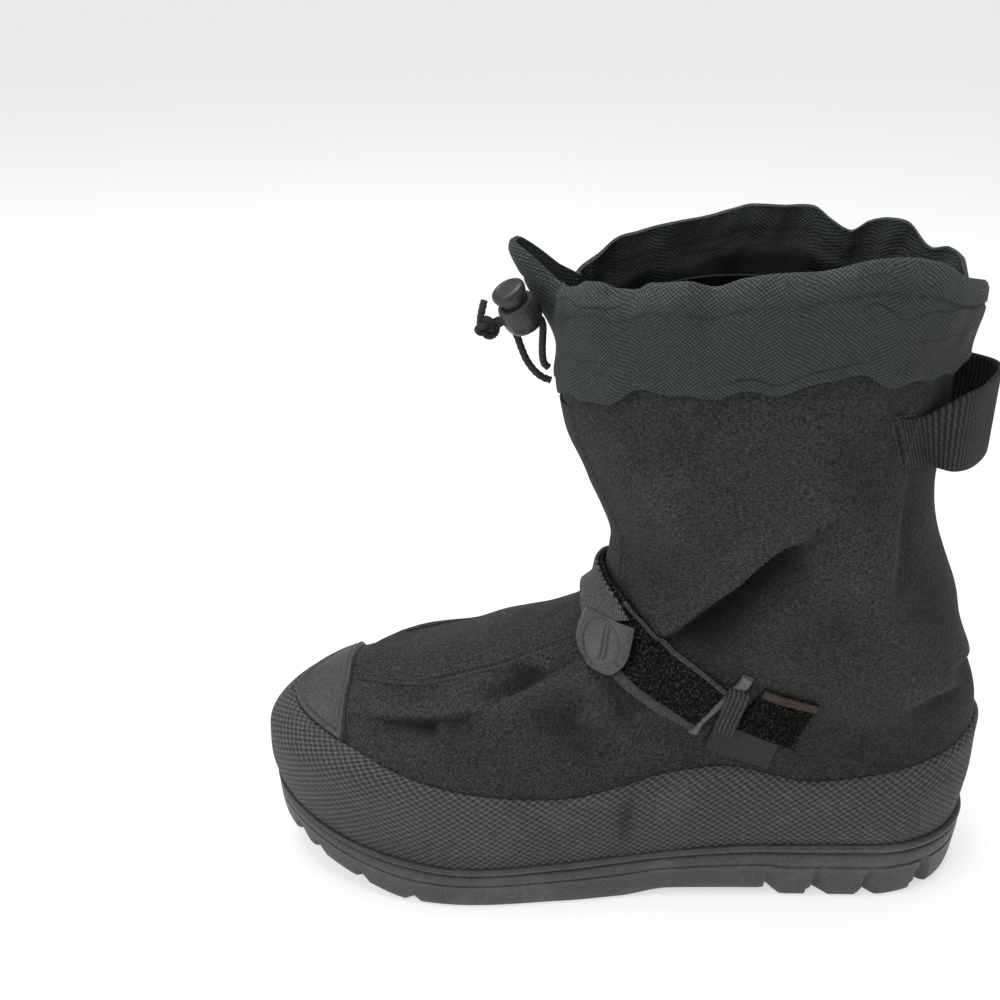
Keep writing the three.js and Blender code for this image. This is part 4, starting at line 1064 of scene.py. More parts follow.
@dataclass(frozen=True)
class Finish:
    """One finish of the boot.

    Attributes:
        name: Name of the material.
        colour: Main colour.
        light: Colour of its lit specks: a painted highlight on the raised parts of its weave, whose hollows
            take a painted shade of 0.45 of the main colour.
        weave: How its surface is made.
        pitch: Repeat of the weave in metres.
        tall: Repeat of the weave the other way, in metres.
        rough: Roughness.
        bump: Depth of the weave in metres.
        dust: Amount of dust.
        dust_colour: Colour of the dust.
        slubs: Amount of slub lines.
        sheen: Weight of the sheen.
        specular: Level of the shine.
        patch: How uneven the colour is.
        grain: How strong its fine specks are.
        grain_size: Size of the specks in metres.
    """

    name: str
    colour: tuple[float, float, float]
    light: tuple[float, float, float]
    weave: Weave
    pitch: float = 0.001
    tall: float = 0.001
    rough: float = 0.85
    bump: float = 0.0001
    dust: float = 0.0
    dust_colour: tuple[float, float, float] = (0.16, 0.14, 0.12)
    slubs: float = 0.0
    sheen: float = 0.0
    specular: float = 0.3
    patch: float = 0.35
    grain: float = 0.0
    grain_size: float = 0.001

    def relief_of(self, tree: bpy.types.NodeTree, effects: Effects, place: Socket) -> Socket:
        """Height of the weave over the surface, about 0 to 1."""
        thing = put(tree, "TexCoord").outputs["Object"]
        if self.weave is Weave.TWILL:
            node = put(tree, "Group", {"node_tree": effects.twill}, Place=place, Pitch=self.pitch)
            return node.outputs["Height"]
        if self.weave is Weave.PEBBLE:
            node = put(tree, "Group", {"node_tree": effects.checks}, Place=place, Wide=self.pitch,
                       Tall=self.tall, Jitter=self.pitch * 0.25)
            return node.outputs["Height"]
        if self.weave is Weave.RIBS:
            node = put(tree, "Group", {"node_tree": effects.ribs}, Place=place, Pitch=self.pitch)
            return node.outputs["Height"]
        if self.weave is Weave.PILE:
            cells = put(tree, "TexVoronoi", s0=thing, Scale=1 / self.pitch)
            return ranged(tree, cells.outputs["Distance"], 0.1, 0.75, 1.0, 0.0)
        scale = 1 / self.pitch
        noise = put(tree, "TexNoise", s0=thing, Scale=scale, Detail=3.0, Roughness=0.6)
        return noise.outputs[0]

    def material(self, effects: Effects) -> bpy.types.Material:
        """Builds the finish as a material."""
        made = bpy.data.materials.new(self.name)
        made.use_nodes = True
        tree = made.node_tree
        tree.nodes.clear()
        place = put(tree, "UVMap", {"uv_map": "UVMap"}).outputs[0]
        height = self.relief_of(tree, effects, place)
        mottle = put(tree, "Group", {"node_tree": effects.mottle}, Fine=1 / self.grain_size)
        uneven = ranged(tree, mottle.outputs["Value"], 0.3, 0.7, 1 - self.patch, 1 + self.patch, "LINEAR")
        specks = ranged(tree, mottle.outputs["Specks"], 0.3, 0.7, 1 - self.grain, 1 + self.grain, "LINEAR")
        # The tone attribute is painted light on the upper and collar: painted shade in creases and inside the
        # collar, painted highlight on crests and at the rim. On the rand it is a dark seam line.
        marked = put(tree, "Attribute", {"attribute_name": "tone"}).outputs["Fac"]
        uneven = reckon(tree, "MULTIPLY", uneven, specks)
        uneven = reckon(tree, "MULTIPLY", uneven, reckon(tree, "MULTIPLY_ADD", marked, -0.75, 1.0))
        # Painted shade and painted highlight of the weave: its hollows darken to 0.45 of the main colour, its
        # raised parts take the light colour.
        shade = ranged(tree, height, 0.15, 0.9)
        colour = between(tree, shade, tuple(0.45 * c for c in self.colour) + (1.0,), self.light + (1.0,))
        if self.slubs:
            lines = put(tree, "Group", {"node_tree": effects.slubs}, Place=place)
            dark = reckon(tree, "MULTIPLY", lines.outputs["Mask"], self.slubs)
            colour = between(tree, dark, colour, tuple(0.25 * c for c in self.colour) + (1.0,))
        toned = put(tree, "VectorMath", {"operation": "SCALE"}, s0=colour)
        tree.links.new(uneven, toned.inputs["Scale"])
        colour = toned.outputs[0]
        rough = ranged(tree, mottle.outputs["Specks"], 0.2, 0.8, max(0.05, self.rough - 0.08),
                       min(1.0, self.rough + 0.08), "LINEAR")
        if self.dust:
            dust = put(tree, "Group", {"node_tree": effects.dust}, Amount=self.dust)
            colour = between(tree, dust.outputs["Mask"], colour, self.dust_colour + (1.0,))
            rough = reckon(tree, "MULTIPLY_ADD", dust.outputs["Mask"], 0.3, rough, clamp=True)
        bump = put(tree, "Bump", Strength=1.0, Distance=self.bump, Height=height)
        shader = put(tree, "BsdfPrincipled", Base_Color=colour, Roughness=rough, Normal=bump.outputs[0])
        shader.inputs["Specular IOR Level"].default_value = self.specular
        shader.inputs["Sheen Weight"].default_value = self.sheen
        shader.inputs["Sheen Roughness"].default_value = 0.5
        out = put(tree, "OutputMaterial", Surface=shader.outputs[0])
        out.location = (600, 0)
        return made


FINISHES = (
    Finish("shell_cloth", (0.025, 0.0245, 0.0265), (0.049, 0.0475, 0.051), Weave.TWILL, 0.0011, rough=0.88,
           bump=0.00016, sheen=0.04, specular=0.22, patch=0.18, grain=0.7, grain_size=0.0011),
    # The lining's near-black colour is painted shade, standing in for the dark inside of the boot.
    Finish("lining_painted_shade", (0.004, 0.004, 0.0045), (0.006, 0.006, 0.0065), Weave.PILE, 0.0011, rough=0.95,
           bump=0.0001, specular=0.1),
    Finish("collar_cloth", (0.028, 0.032, 0.033), (0.062, 0.071, 0.073), Weave.PEBBLE, 0.00175, 0.00155,
           rough=0.72, bump=0.00022, slubs=0.6, specular=0.3, patch=0.12, grain=0.3, grain_size=0.0014),
    Finish("rand_weave", (0.043, 0.041, 0.040), (0.088, 0.084, 0.081), Weave.PEBBLE, 0.0040, 0.0030,
           rough=0.72, bump=0.0006, dust=0.3, specular=0.38, patch=0.18, grain=0.25, grain_size=0.0012),
    Finish("sole_rubber", (0.050, 0.049, 0.049), (0.070, 0.068, 0.067), Weave.GRAIN, 0.0009, rough=0.5,
           bump=0.00005, dust=0.85, dust_colour=(0.14, 0.133, 0.125), specular=0.45, patch=0.15, grain=0.3,
           grain_size=0.0011),
    Finish("cap_rubber", (0.054, 0.054, 0.055), (0.078, 0.077, 0.077), Weave.GRAIN, 0.0012, rough=0.6,
           bump=0.00009, dust=0.25, specular=0.4, patch=0.12, grain=0.2),
    Finish("loop_pile", (0.011, 0.011, 0.012), (0.034, 0.034, 0.035), Weave.PILE, 0.0011, rough=0.95,
           bump=0.0007, specular=0.15, grain=0.7, grain_size=0.0016),
    Finish("edge_web", (0.042, 0.041, 0.040), (0.090, 0.087, 0.085), Weave.TWILL, 0.0012, rough=0.9,
           bump=0.0002, specular=0.2, grain=0.3),
    Finish("brown_web", (0.046, 0.038, 0.031), (0.088, 0.074, 0.060), Weave.TWILL, 0.0012, rough=0.9,
           bump=0.0002, specular=0.2, grain=0.3),
    Finish("flat_web", (0.060, 0.060, 0.062), (0.125, 0.124, 0.126), Weave.PEBBLE, 0.0019, 0.0014,
           rough=0.85, bump=0.00022, specular=0.25, grain=0.3),
    Finish("ribbed_web", (0.026, 0.027, 0.029), (0.056, 0.058, 0.060), Weave.RIBS, 0.0019, rough=0.8,
           bump=0.0004, specular=0.3, grain=0.3),
    Finish("loop_web", (0.017, 0.017, 0.018), (0.040, 0.041, 0.042), Weave.RIBS, 0.0021, rough=0.8,
           bump=0.0005, specular=0.3, grain=0.3),
    Finish("label_cloth", (0.026, 0.028, 0.031), (0.042, 0.044, 0.048), Weave.TWILL, 0.0007, rough=0.7,
           bump=0.00006, specular=0.3, grain=0.2),
    Finish("moulded_plastic", (0.026, 0.026, 0.028), (0.036, 0.036, 0.038), Weave.GRAIN, 0.0006, rough=0.38,
           bump=0.00002, specular=0.5, patch=0.06),
    Finish("tip_plastic", (0.066, 0.067, 0.069), (0.094, 0.095, 0.097), Weave.GRAIN, 0.0005, rough=0.45,
           bump=0.00003, specular=0.45, patch=0.08, grain=0.12),
    Finish("grey_plastic", (0.11, 0.113, 0.115), (0.15, 0.153, 0.155), Weave.GRAIN, 0.0005, rough=0.5,
           bump=0.00002, specular=0.45, patch=0.08),
    Finish("cord_braid", (0.014, 0.014, 0.015), (0.044, 0.044, 0.046), Weave.TWILL, 0.0014, rough=0.65,
           bump=0.0002, specular=0.35, grain=0.3),
    Finish("thread", (0.060, 0.059, 0.060), (0.11, 0.108, 0.108), Weave.GRAIN, 0.0003, rough=0.8,
           bump=0.00002),
    Finish("pale_thread", (0.16, 0.155, 0.145), (0.26, 0.25, 0.235), Weave.GRAIN, 0.0003, rough=0.85,
           bump=0.00002),
    Finish("insole_felt", (0.020, 0.020, 0.021), (0.032, 0.032, 0.034), Weave.PILE, 0.0008, rough=0.95,
           bump=0.0002),
)


class Wardrobe:
    """All the finishes as materials, by name."""

    def __init__(self) -> None:
        """Builds every material."""
        effects = Effects()
        self.made = {finish.name: finish.material(effects) for finish in FINISHES}

    def __getitem__(self, name: str) -> bpy.types.Material:
        """The material of a finish."""
        return self.made[name]


def dress(node: str, material: bpy.types.Material) -> None:
    """Gives a frame node that stays a material on all its faces."""
    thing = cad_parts[node]
    thing.data.materials.clear()
    thing.data.materials.append(material)


# Pieces

RAND_TOP = np.array([
    [-0.02, 0.290], [0.02, 0.276], [0.05, 0.259], [0.10, 0.248], [0.17, 0.231], [0.25, 0.221],
    [0.37, 0.245], [0.44, 0.236], [0.50, 0.219], [0.59, 0.203], [0.70, 0.217], [0.80, 0.245],
    [0.874, 0.269], [0.94, 0.278], [1.02, 0.281],
])
CAP_BACK = 0.881


def around(count: int) -> Array:
    """Evenly spread turns all the way round."""
    return np.arange(count) * 2 * np.pi / count


@dataclass
class Upper:
    """The hollow cloth upper with its front flap and sewn lines.

    Attributes:
        columns: How many columns of points go round.
        rows: How many rows go up its outside.
        inner_every: How many rows outside go with one inside.
        top: Step where it ends, under the collar.
        flap_edges: Step, inner-side turn and outer-side turn of the flap's edges.
    """

    columns: int = 400
    rows: int = 196
    inner_every: int = 5
    top: float = 11.45
    flap_edges: Array = field(default_factory=lambda: np.array([
        [4.35, 10, -30], [5, 21, -40], [6, 23, -50], [7, 22, -52], [8, 20, -48], [9, 18, -45],
        [10, 18, -44], [10.85, 18, -44],
    ]))

    def shell(self, wear: Wardrobe) -> None:
        """The upper itself: an outer and an inner face a wall apart, joined at both ends."""
        turn, step = np.meshgrid(around(self.columns), np.linspace(0, self.top, self.rows))
        outside = cloth(turn, step, 0.0)
        flat = cloth(turn, step, 0.0, creased=False)
        normal = outward(plain, turn.ravel(), step.ravel()).reshape(flat.shape)
        depth = np.einsum("ijk,ijk->ij", flat - outside, normal)
        # Painted shade: points sunk into the creases are darkened by their depth; points pushed out on the
        # crests, below 0, get a painted highlight.
        tone = np.clip(depth / 3.6, -0.3, 1.1)
        # The inner face keeps behind the deepest fold within seven points of each of its own.
        for _ in range(7):
            beside = np.maximum(np.roll(depth, 1, 1), np.roll(depth, -1, 1))
            over = np.pad(depth, ((1, 0), (0, 0)), "edge")[:-1]
            under = np.pad(depth, ((0, 1), (0, 0)), "edge")[1:]
            depth = np.maximum.reduce([depth, beside, over, under])
        part = slice(None, None, self.inner_every)
        inside = cloth(turn[part], step[part], -WALL - depth[part], creased=False)[::-1]
        shape = lattice(np.concatenate([outside, inside]), wrap_rows=True, wrap_cols=True)
        tone = np.concatenate([tone, np.zeros(inside.shape[:2])])
        # The inner face wears the lining, whose near-black colour is painted shade.
        make_piece("upper_cloth", shape, wear["shell_cloth"], ["upper"], tone=tone,
                   second=(wear["lining_painted_shade"], self.rows * self.columns))

    def flap(self, wear: Wardrobe) -> None:
        """The front flap: sewn flush along its inner side, lifting towards its free outer edge."""
        medial, lateral = curve(self.flap_edges, 1), curve(self.flap_edges, 2)
        step = np.linspace(self.flap_edges[0, 0], self.flap_edges[-1, 0], 150)[:, None]
        across = np.concatenate([[0, 0.004], np.linspace(0.012, 0.988, 40), [0.996, 1.0]])[None, :]
        turn = np.radians(lateral(step[:, 0])[:, None] * (1 - across) + medial(step[:, 0])[:, None] * across)
        step = np.broadcast_to(step, turn.shape)
        free = (1 - across) ** 3
        lift = 0.35 + 1.1 * smoothstep(0, 0.3, 1 - across) + 1.3 * free
        edge = np.minimum(smoothstep(0, 0.012, across), 1) * (1 - smoothstep(0.99, 1, across))
        top = cloth(turn, step, lift * (0.25 + 0.75 * edge))
        under = cloth(turn, step, np.maximum(lift - 1.5, -0.3) * 0.6)
        shape = lattice(np.concatenate([top, under[:, ::-1]], axis=1), wrap_cols=True, caps=True)
        make_piece("front_flap_cloth", shape, wear["shell_cloth"], ["front_flap"])
        self.hooks(wear, turn[:, :9], step[:, :9])

    def hooks(self, wear: Wardrobe, turn: Array, step: Array) -> None:
        """The hook tape that lies along the flap's free edge, a narrow band on its top face."""
        turn, step = turn[4:-4, 2:], step[4:-4, 2:]
        top = cloth(turn, step, 2.35)
        under = cloth(turn, step, 1.2)
        shape = lattice(np.concatenate([top, under[:, ::-1]], axis=1), wrap_cols=True, caps=True)
        make_piece("flap_hook_tape", shape, wear["loop_pile"])

    def sewing(self, wear: Wardrobe) -> None:
        """The double sewn lines of the vamp and the shaft."""
        vamp = ((4, 4.22), (10, 4.5), (16, 4.78), (21, 5.1), (23.2, 5.6), (23, 6.2), (22, 6.94), (21, 7.3))
        shaft = ((18.5, 8.4), (18.5, 9.25), (18.5, 9.8), (17.5, 10.2), (18.5, 10.6), (18.6, 10.95))
        rows = [stitches_on(line, 2.7, 0.95, thick=1.25, aside=aside) for line in (vamp, shaft)
                for aside in (-1.4, 1.6)]
        make_piece("upper_stitching", joined(rows), wear["thread"])

    def build(self, wear: Wardrobe) -> None:
        """Builds all of it."""
        self.shell(wear)
        self.flap(wear)
        self.sewing(wear)


@dataclass
class Sole:
    """The lugged outsole with its bead and parting groove.

    Attributes:
        side: Share of the side height and how far in from the rim, up the side.
        front_round: Rounding of the toe, share of the length.
        back_round: Rounding of the heel, share of the length.
        marks: Place along, reach, depth and share of the side height of each bite between the lugs.
    """

    side: Array = field(default_factory=lambda: np.array([
        [0.00, 3.6], [0.03, 2.5], [0.08, 1.8], [0.30, 1.1], [0.555, 0.7], [0.575, 0.6], [0.585, 1.0],
        [0.60, 1.25], [0.62, 1.1], [0.632, 0.6], [0.65, 0.5], [0.72, 0.45], [0.82, 0.6], [0.845, 1.2],
        [0.86, 1.7], [0.875, 1.6], [0.89, 0.7], [0.91, 0.2], [0.95, 0.1], [0.98, 0.4], [1.00, 1.2],
    ]))
    front_round: float = 0.283
    back_round: float = 0.154
    marks: tuple = ((16, 5.5, 6.5, 0.62), (-7, 5, 6.0, 0.60), (-32, 5, 6.0, 0.60), (38, 4, 4.0, 0.5),
                    (257, 4, 4.5, 0.34), (248, 3.4, 4.5, 0.30), (227, 3.6, 4.0, 0.30), (203, 3.2, 3.5, 0.24))

    def ring(self, turn: Array, inset: Array, share: Array) -> Array:
        """Points of the sole's side at angles round it: the foot's outline, in from the rim by the inset."""
        front = x_at(1) - inset
        back = x_at(0) + inset
        x = back + (front - back) * (1 + np.cos(turn)) / 2
        along = share_at(x)
        inner = np.sin(turn) >= 0
        half = np.where(inner, FOOT_MEDIAL(along), FOOT_LATERAL(along)) - inset
        front_end = quarter((front - x) / (self.front_round * LENGTH))
        ends = front_end * quarter((x - back) / (self.back_round * LENGTH))
        y = SWING_AT(along) + half * ends * np.sign(np.round(np.sin(turn) * 1e9))
        low = TREAD_AT(along)
        return np.stack([x, y, low + (RIM_AT(along) - low) * share], -1)

    def outsole(self, wear: Wardrobe) -> None:
        """The outsole as one closed surface: rings from the tread's edge up the side, closed below and
        above by rows straight across."""
        count = 420
        turn = around(count)
        bites = self.bites(turn)
        shares = np.concatenate([np.linspace(self.side[k, 0], self.side[k + 1, 0], 3)[:-1]
                                 for k in range(len(self.side) - 1)] + [[1.0]])
        inset = monotone(self.side[:, 0], self.side[:, 1], shares)
        pairs = zip(inset, shares)
        rings = np.stack([self.ring(turn, inward + bites(share), share) for inward, share in pairs])
        half = count // 2 + 1
        across = np.linspace(0, 1, 26)[1:-1]
        grid = []
        for ring, tread in ((rings[0], True), (rings[-1], False)):
            inner, outer = ring[:half], ring[(count - np.arange(half)) % count]
            sheet = outer[:, None] * (1 - across[:, None]) + inner[:, None] * across[:, None]
            if tread:
                sheet[..., 2] = TREAD_AT(share_at(sheet[..., 0])) + self.tread(sheet)
            grid.append(sheet)
        medial = rings[:, :half].transpose(1, 0, 2)
        lateral = rings[:, (count - np.arange(half)) % count].transpose(1, 0, 2)
        loop = np.concatenate([grid[0], medial, grid[1][:, ::-1], lateral[:, ::-1]], axis=1)
        shape = lattice(loop, wrap_cols=True)
        make_piece("outsole_rubber", shape, wear["sole_rubber"], ["outsole"], merge=0.01)

    def tread(self, sheet: Array) -> Array:
        """Depth of the grooves between the lugs: cross grooves at an even pitch and two along the sole."""
        along = share_at(sheet[..., 0])
        y = sheet[..., 1] - SWING_AT(along)
        heel = (along < 0.26) & (along > 0.03)
        fore = (along > 0.49) & (along < 0.97)
        pitch = 0.0715
        phase = np.where(heel, (along - 0.0715) / (pitch * 1.03), (along - 0.508) / pitch)
        apart = np.abs(phase - np.round(phase)) * pitch * LENGTH
        cross = (1 - smoothstep(2.4, 3.6, apart)) * (heel | fore)
        ways = np.where(heel, 15, 19)
        line = (1 - smoothstep(2.4, 3.6, np.abs(np.abs(y) - ways))) * (heel | fore)
        return 4.5 * np.maximum(cross, line)

    def bites(self, turn: Array) -> Callable[[float], Array]:
        """How far the side is bitten in between the heel's lugs and the toe's, by share of its height."""
        base = self.ring(turn, np.zeros(len(turn)), 0.0)
        x = base[:, 0]

        def at(share: float) -> Array:
            """Depth of the bites at a share of the side height."""
            deep = np.zeros(len(x))
            for middle, wide, depth, tall in self.marks:
                narrowing = max(0.0, 1 - share / tall)
                reach = wide * (0.35 + 0.65 * narrowing)
                bite = 1 - smoothstep(reach * 0.5, reach, np.abs(x - middle))
                deep = np.maximum(deep, depth * np.sqrt(narrowing) * bite)
            return deep

        return at

    def build(self, wear: Wardrobe) -> None:
        """Builds all of it."""
        self.outsole(wear)
        dress("insole", wear["insole_felt"])


@dataclass
class Rand:
    """The woven rubber band above the sole and the toe cap over it.

    Attributes:
        thick: Thickness of the band.
        columns: How many columns of points go round it.
        rows: How many rows go up it.
    """

    thick: float = 2.0
    columns: int = 380
    rows: int = 44

    def band(self, wear: Wardrobe) -> None:
        """The band from the sole up to its own edge, thinning out at the top."""
        turn = around(self.columns)
        edge = step_where(turn, level_at(RAND_TOP), Side.HEIGHT, 0.5, 6)
        share = np.linspace(0, 1, self.rows)[:, None]
        step = edge[None] * share
        turns = np.broadcast_to(turn, step.shape)
        seams = sum(0.6 * smoothstep(-0.4, 0.4, apart) * (1 - smoothstep(4, 14, apart))
                    for apart in ((np.degrees(turns) - at + 180) % 360 - 180 for at in (89.5, 268)))
        lift = GAP + self.thick * (1 - 0.75 * smoothstep(0.955, 1.0, share)) + seams
        inner = np.full_like(lift, 0.1)
        shape = lofted(turns, step, lift, inner)
        jag = 0.5 * np.sin(41 * share) + 0.35 * np.sin(97 * share + 1)
        seam = bell(np.degrees(turns) - 90.6 - jag, 1.1) * bell(share - 0.5, 0.36)
        tone = np.zeros(len(shape.points))
        tone[:seam.size] = 1.15 * seam.ravel()
        make_piece("rand_band", shape, wear["rand_weave"], ["rand"], tone=tone)
        heel = [(angle, 0.42) for angle in range(96, 265, 8)]
        rows = [stitches_on(heel, 3.2, GAP + self.thick + 0.1, thick=0.9)]
        toe = [(angle, 0.3) for angle in range(-84, 90, 8)]
        rows.append(stitches_on(toe, 3.6, GAP + self.thick, thick=0.7))
        make_piece("rand_stitching", joined(rows), wear["pale_thread"])

    def cap(self, wear: Wardrobe) -> None:
        """The toe cap: a lens-shaped patch with a raised edge."""
        reach = np.radians(36)
        turn = np.linspace(-reach, reach, 200)
        low = step_where(turn, level_at(RAND_TOP), Side.HEIGHT, 0.5, 6)
        line = x_at(CAP_BACK)
        high = step_where(turn, lambda points: points[:, 0] - line, Side.LENGTH, 0.5, 6.5)
        high = np.maximum(high, low + 0.02)
        share = np.linspace(0, 1, 64)[:, None]
        step = low + 0.02 + (high - low - 0.02) * share
        turns = np.broadcast_to(turn, step.shape)
        flat = cloth(turns, step, 0.0, creased=False)
        border = np.concatenate([flat[0], flat[-1], flat[:, 0], flat[:, -1]])
        away = np.linalg.norm(flat.reshape(-1, 1, 3) - border[None], axis=2).min(1).reshape(step.shape)
        lift = 0.9 + 1.5 * smoothstep(0, 0.8, away) - 0.75 * bell(away - 2.5, 0.5)
        lift = lift - 0.75 * smoothstep(3.6, 4.4, away)
        top = cloth(turns, step, lift)
        under = cloth(turns, step, 0.2)
        shape = lattice(np.concatenate([top, under[:, ::-1]], axis=1), wrap_cols=True, caps=True)
        make_piece("toe_cap_patch", shape, wear["cap_rubber"], ["toe_cap"])

    def build(self, wear: Wardrobe) -> None:
        """Builds all of it."""
        self.band(wear)
        self.cap(wear)


@dataclass
class Collar:
    """The gathered collar: a cuff with a cord casing round its rim.

    Attributes:
        side: Share of the cuff's height, how far its outside and its inside stand off the upper.
        rise: Turn and height over the frame's rim of points round the gathered rim.
        ear: Turn, reach and width of the corner that sticks out in front.
        hem: Step of the lower edge in front.
        hem_back: How much higher it is at the back.
    """

    side: Array = field(default_factory=lambda: np.array([
        [0.00, 2.9, 0.32], [0.08, 3.3, 0.32], [0.30, 3.1, 0.32], [0.52, 3.7, 0.32], [0.68, 4.2, 1.8],
        [0.90, 3.9, 1.5], [1.00, 2.6, 0.8],
    ]))
    rise: Array = field(default_factory=lambda: np.array([
        [0, 2], [8, 0.4], [14, 1.2], [22, 2.2], [30, 4.5], [36, 4.0], [42, 0.6], [48, -0.2], [54, 2.6],
        [63, 2.4], [71, -1.2], [78, 2.0], [86, 3.4], [95, 3.8], [100, 5.5], [106, 8.8], [114, 10.8],
        [122, 12.0], [130, 11.6], [138, 9.3], [145, 7.3], [156, 6.8], [168, 5.9], [178, 4.0], [186, 2.2],
        [192, 4.4], [198, 7.5], [204, 8.0], [210, 5.2], [216, 7.0], [222, 9.3], [228, 7.6], [234, 3.8],
        [240, -2.0], [246, -0.3], [252, 3.0], [262, 1.5], [270, 1.3], [276, -0.3], [288, -2.3],
        [306, -1.2], [313, -0.2], [324, -1.9], [338, -2.4], [345, 3], [350, 15], [355, 14],
    ]))
    ear: tuple[float, float, float] = (-7.0, 9.5, 8.0)
    hem: float = 11.0
    hem_back: float = 0.38

    def rim_rise(self, turn: Array) -> Array:
        """How far the rim stands above the frame's at each turn: a smooth closed curve through a table."""
        table = np.vstack([self.rise[-2:] - [360, 0], self.rise, self.rise[:2] + [360, 0]])
        return monotone(table[:, 0], table[:, 1], np.degrees(turn).ravel() % 360).reshape(turn.shape)

    def points(self, turn: Array, share: Array, stand: Array, within: float) -> Array:
        """Points of the cuff: the boot's surface moved out, then pulled about by the gathers near the rim.

        Args:
            turn: Angles round the rim.
            share: Share of the cuff's height.
            stand: How far off the boot's surface the face stands.
            within: 1 for the inner face, whose folds are deeper, 0 for the outer one.

        Returns:
            Points in millimetres.
        """
        back = (1 - np.cos(turn)) / 2
        wave = 0.045 * np.sin(7 * turn + 1) + 0.03 * np.sin(13 * turn + 2.2) + 0.02 * np.sin(23 * turn)
        hem = self.hem + self.hem_back * back + wave
        step = hem + (TOP - hem) * share
        up = self.rim_rise(turn)
        small = np.radians(9)
        smooth = (self.rim_rise(turn - small) + up + self.rim_rise(turn + small)) / 3
        pucker = 1.1 * (up - smooth)
        apart = (np.degrees(turn) - self.ear[0] + 540) % 360 - 180
        ear = self.ear[1] * bell(apart, self.ear[2])
        pull = smoothstep(0.25, 1.0, share) * (share > 0.25)
        drift = np.degrees(turn) + 14 * (1 - share) * np.sin(3 * turn)
        folds = np.sin(drift / 4.1) + 0.7 * np.sin(drift / 2.3 + 1.3)
        deep = 0.4 + 2.0 * within
        out = pucker * pull + ear * smoothstep(0.3, 1.0, share)
        out = out + deep * (folds - 1.6 * within) * pull * (1.15 - share)
        base = cloth(turn, step, 0, creased=False)
        soft = 0.7 * waves(base.reshape(-1, 3), 34, 5) + 0.25 * waves(base.reshape(-1, 3), 12, 6)
        made = cloth(turn, step, stand + out + soft.reshape(turn.shape), creased=False)
        made[..., 2] += up * smoothstep(0.15, 1.0, share)
        return made

    def cuff(self, wear: Wardrobe) -> None:
        """The cuff: outer face, rounded casing at the rim, and inner face down to the hem."""
        turn = around(640)
        share = np.linspace(0, 1, 84)
        out = monotone(self.side[:, 0], self.side[:, 1], share)
        inside = monotone(self.side[:, 0], self.side[:, 2], share)
        seam = 0.7 * bell(share - 0.74, 0.02)
        turns, shares = np.meshgrid(turn, share)
        outer = self.points(turns, shares, (out - seam)[:, None] + 0 * turns, 0)
        inner = self.points(turns, shares, (inside + 0.5 * seam)[:, None] + 0 * turns, 1)
        middle = (outer[-1] + inner[-1]) / 2
        cap = middle + [0, 0, 0.8]
        back = inner[::-1][::2]
        shape = lattice(np.concatenate([outer, cap[None], back]), wrap_rows=True, wrap_cols=True)
        # Painted shade: the inner face darkens further down inside the boot. Painted highlight: the outer
        # face lightens towards the rim, and so does the casing's row at the rim.
        shade = 0.2 + 0.95 * smoothstep(0.05, 0.7, 1 - shares[::-1][::2])
        light = 0.2 - 0.55 * smoothstep(0.72, 0.93, shares)
        tone = np.concatenate([light, np.full((1, len(turn)), -0.3), shade])
        make_piece("collar_cuff", shape, wear["collar_cloth"], ["collar"], tone=tone)

    def build(self, wear: Wardrobe) -> None:
        """Builds all of it."""
        self.cuff(wear)


STRAP_PATH = (
    (83, 5.85, 3.9), (72, 6.32, 2.2), (57, 6.75, 2.2), (40, 7.2, 2.2), (20, 7.66, 4.0),
    (0, 7.86, 4.0), (-20, 7.68, 4.0), (-40, 7.2, 4.0), (-55, 6.8, 3.0), (-70, 6.37, 2.2),
)
OVER_PATH = (
    (26, 7.4, 6.3), (17, 7.65, 6.3), (9, 7.78, 6.3), (0, 7.86, 6.3), (-16, 7.76, 6.3), (-34, 7.36, 6.3),
    (-50, 6.93, 6.0),
)
TIP_PATH = ((43.5, 6.42, 5), (40, 6.64, 6.3), (31.5, 7.1, 7.1), (24, 7.5, 7.2))
ANCHOR_PATH = ((91, 5.95, 2.2), (110, 5.1, 2.2))
RIBBED_PATH = ((85.8, 5.84, 4.1), (91.5, 5.72, 4.1))
RING_PATH = ((79, 7.2, 2.1), (84, 5.9, 2.1), (92, 4.6, 2.1))
LABEL_PATH = ((95, 4.68, 1.1), (111, 3.78, 1.1))
TAB_PATH = ((-90, 5.58, 2.2), (-104, 4.95, 2.2), (-120, 3.85, 2.2))


def web_piece(name: str, path: Sequence, width: float, thick: float, material: bpy.types.Material,
              nodes: Sequence[str], rows: int = 90, crown: float = 0.15, aside: float = 0.0,
              raised: float = 0.0, across: int = 20, pile: float = 0.0) -> bpy.types.Object:
    """A flat web that follows a path over the boot, its cloth places along and across it.

    Args:
        name: Name of the piece.
        path: Turn in degrees, step and height of points along it.
        width: Width of the web.
        thick: Thickness of the web.
        material: What it is dressed in.
        nodes: Frame nodes that it stands for.
        rows: How many cross-sections it has.
        crown: How far its middle stands over its edges.
        aside: How far it lies to one side of the path.
        raised: How far it lies above the path's height.
        across: How many points its top face has.
        pile: How uneven the loops of its pile make the top face.

    Returns:
        The new object.
    """
    ribbon = Ribbon(path, rows)
    side, down = web_section(width, thick, across, crown)
    down = np.broadcast_to(down - raised, (rows, len(down))).copy()
    if pile:
        draw = np.random.default_rng(SEED + rows)
        inside = (np.abs(side) < width / 2 - thick) & (np.arange(len(side)) < across)
        bumps = draw.uniform(-1, 1, down.shape)
        bumps = (bumps + np.roll(bumps, 1, 0) * 0.5) * pile
        down -= bumps * inside
    rings = ribbon.rings(side + aside, down)
    uv = np.stack(np.meshgrid(ribbon.run, np.append(side, side[0]), indexing="ij"), -1) * MM
    shape = lattice(rings, uv, wrap_cols=True, caps=True)
    return make_piece(name, shape, material, nodes)


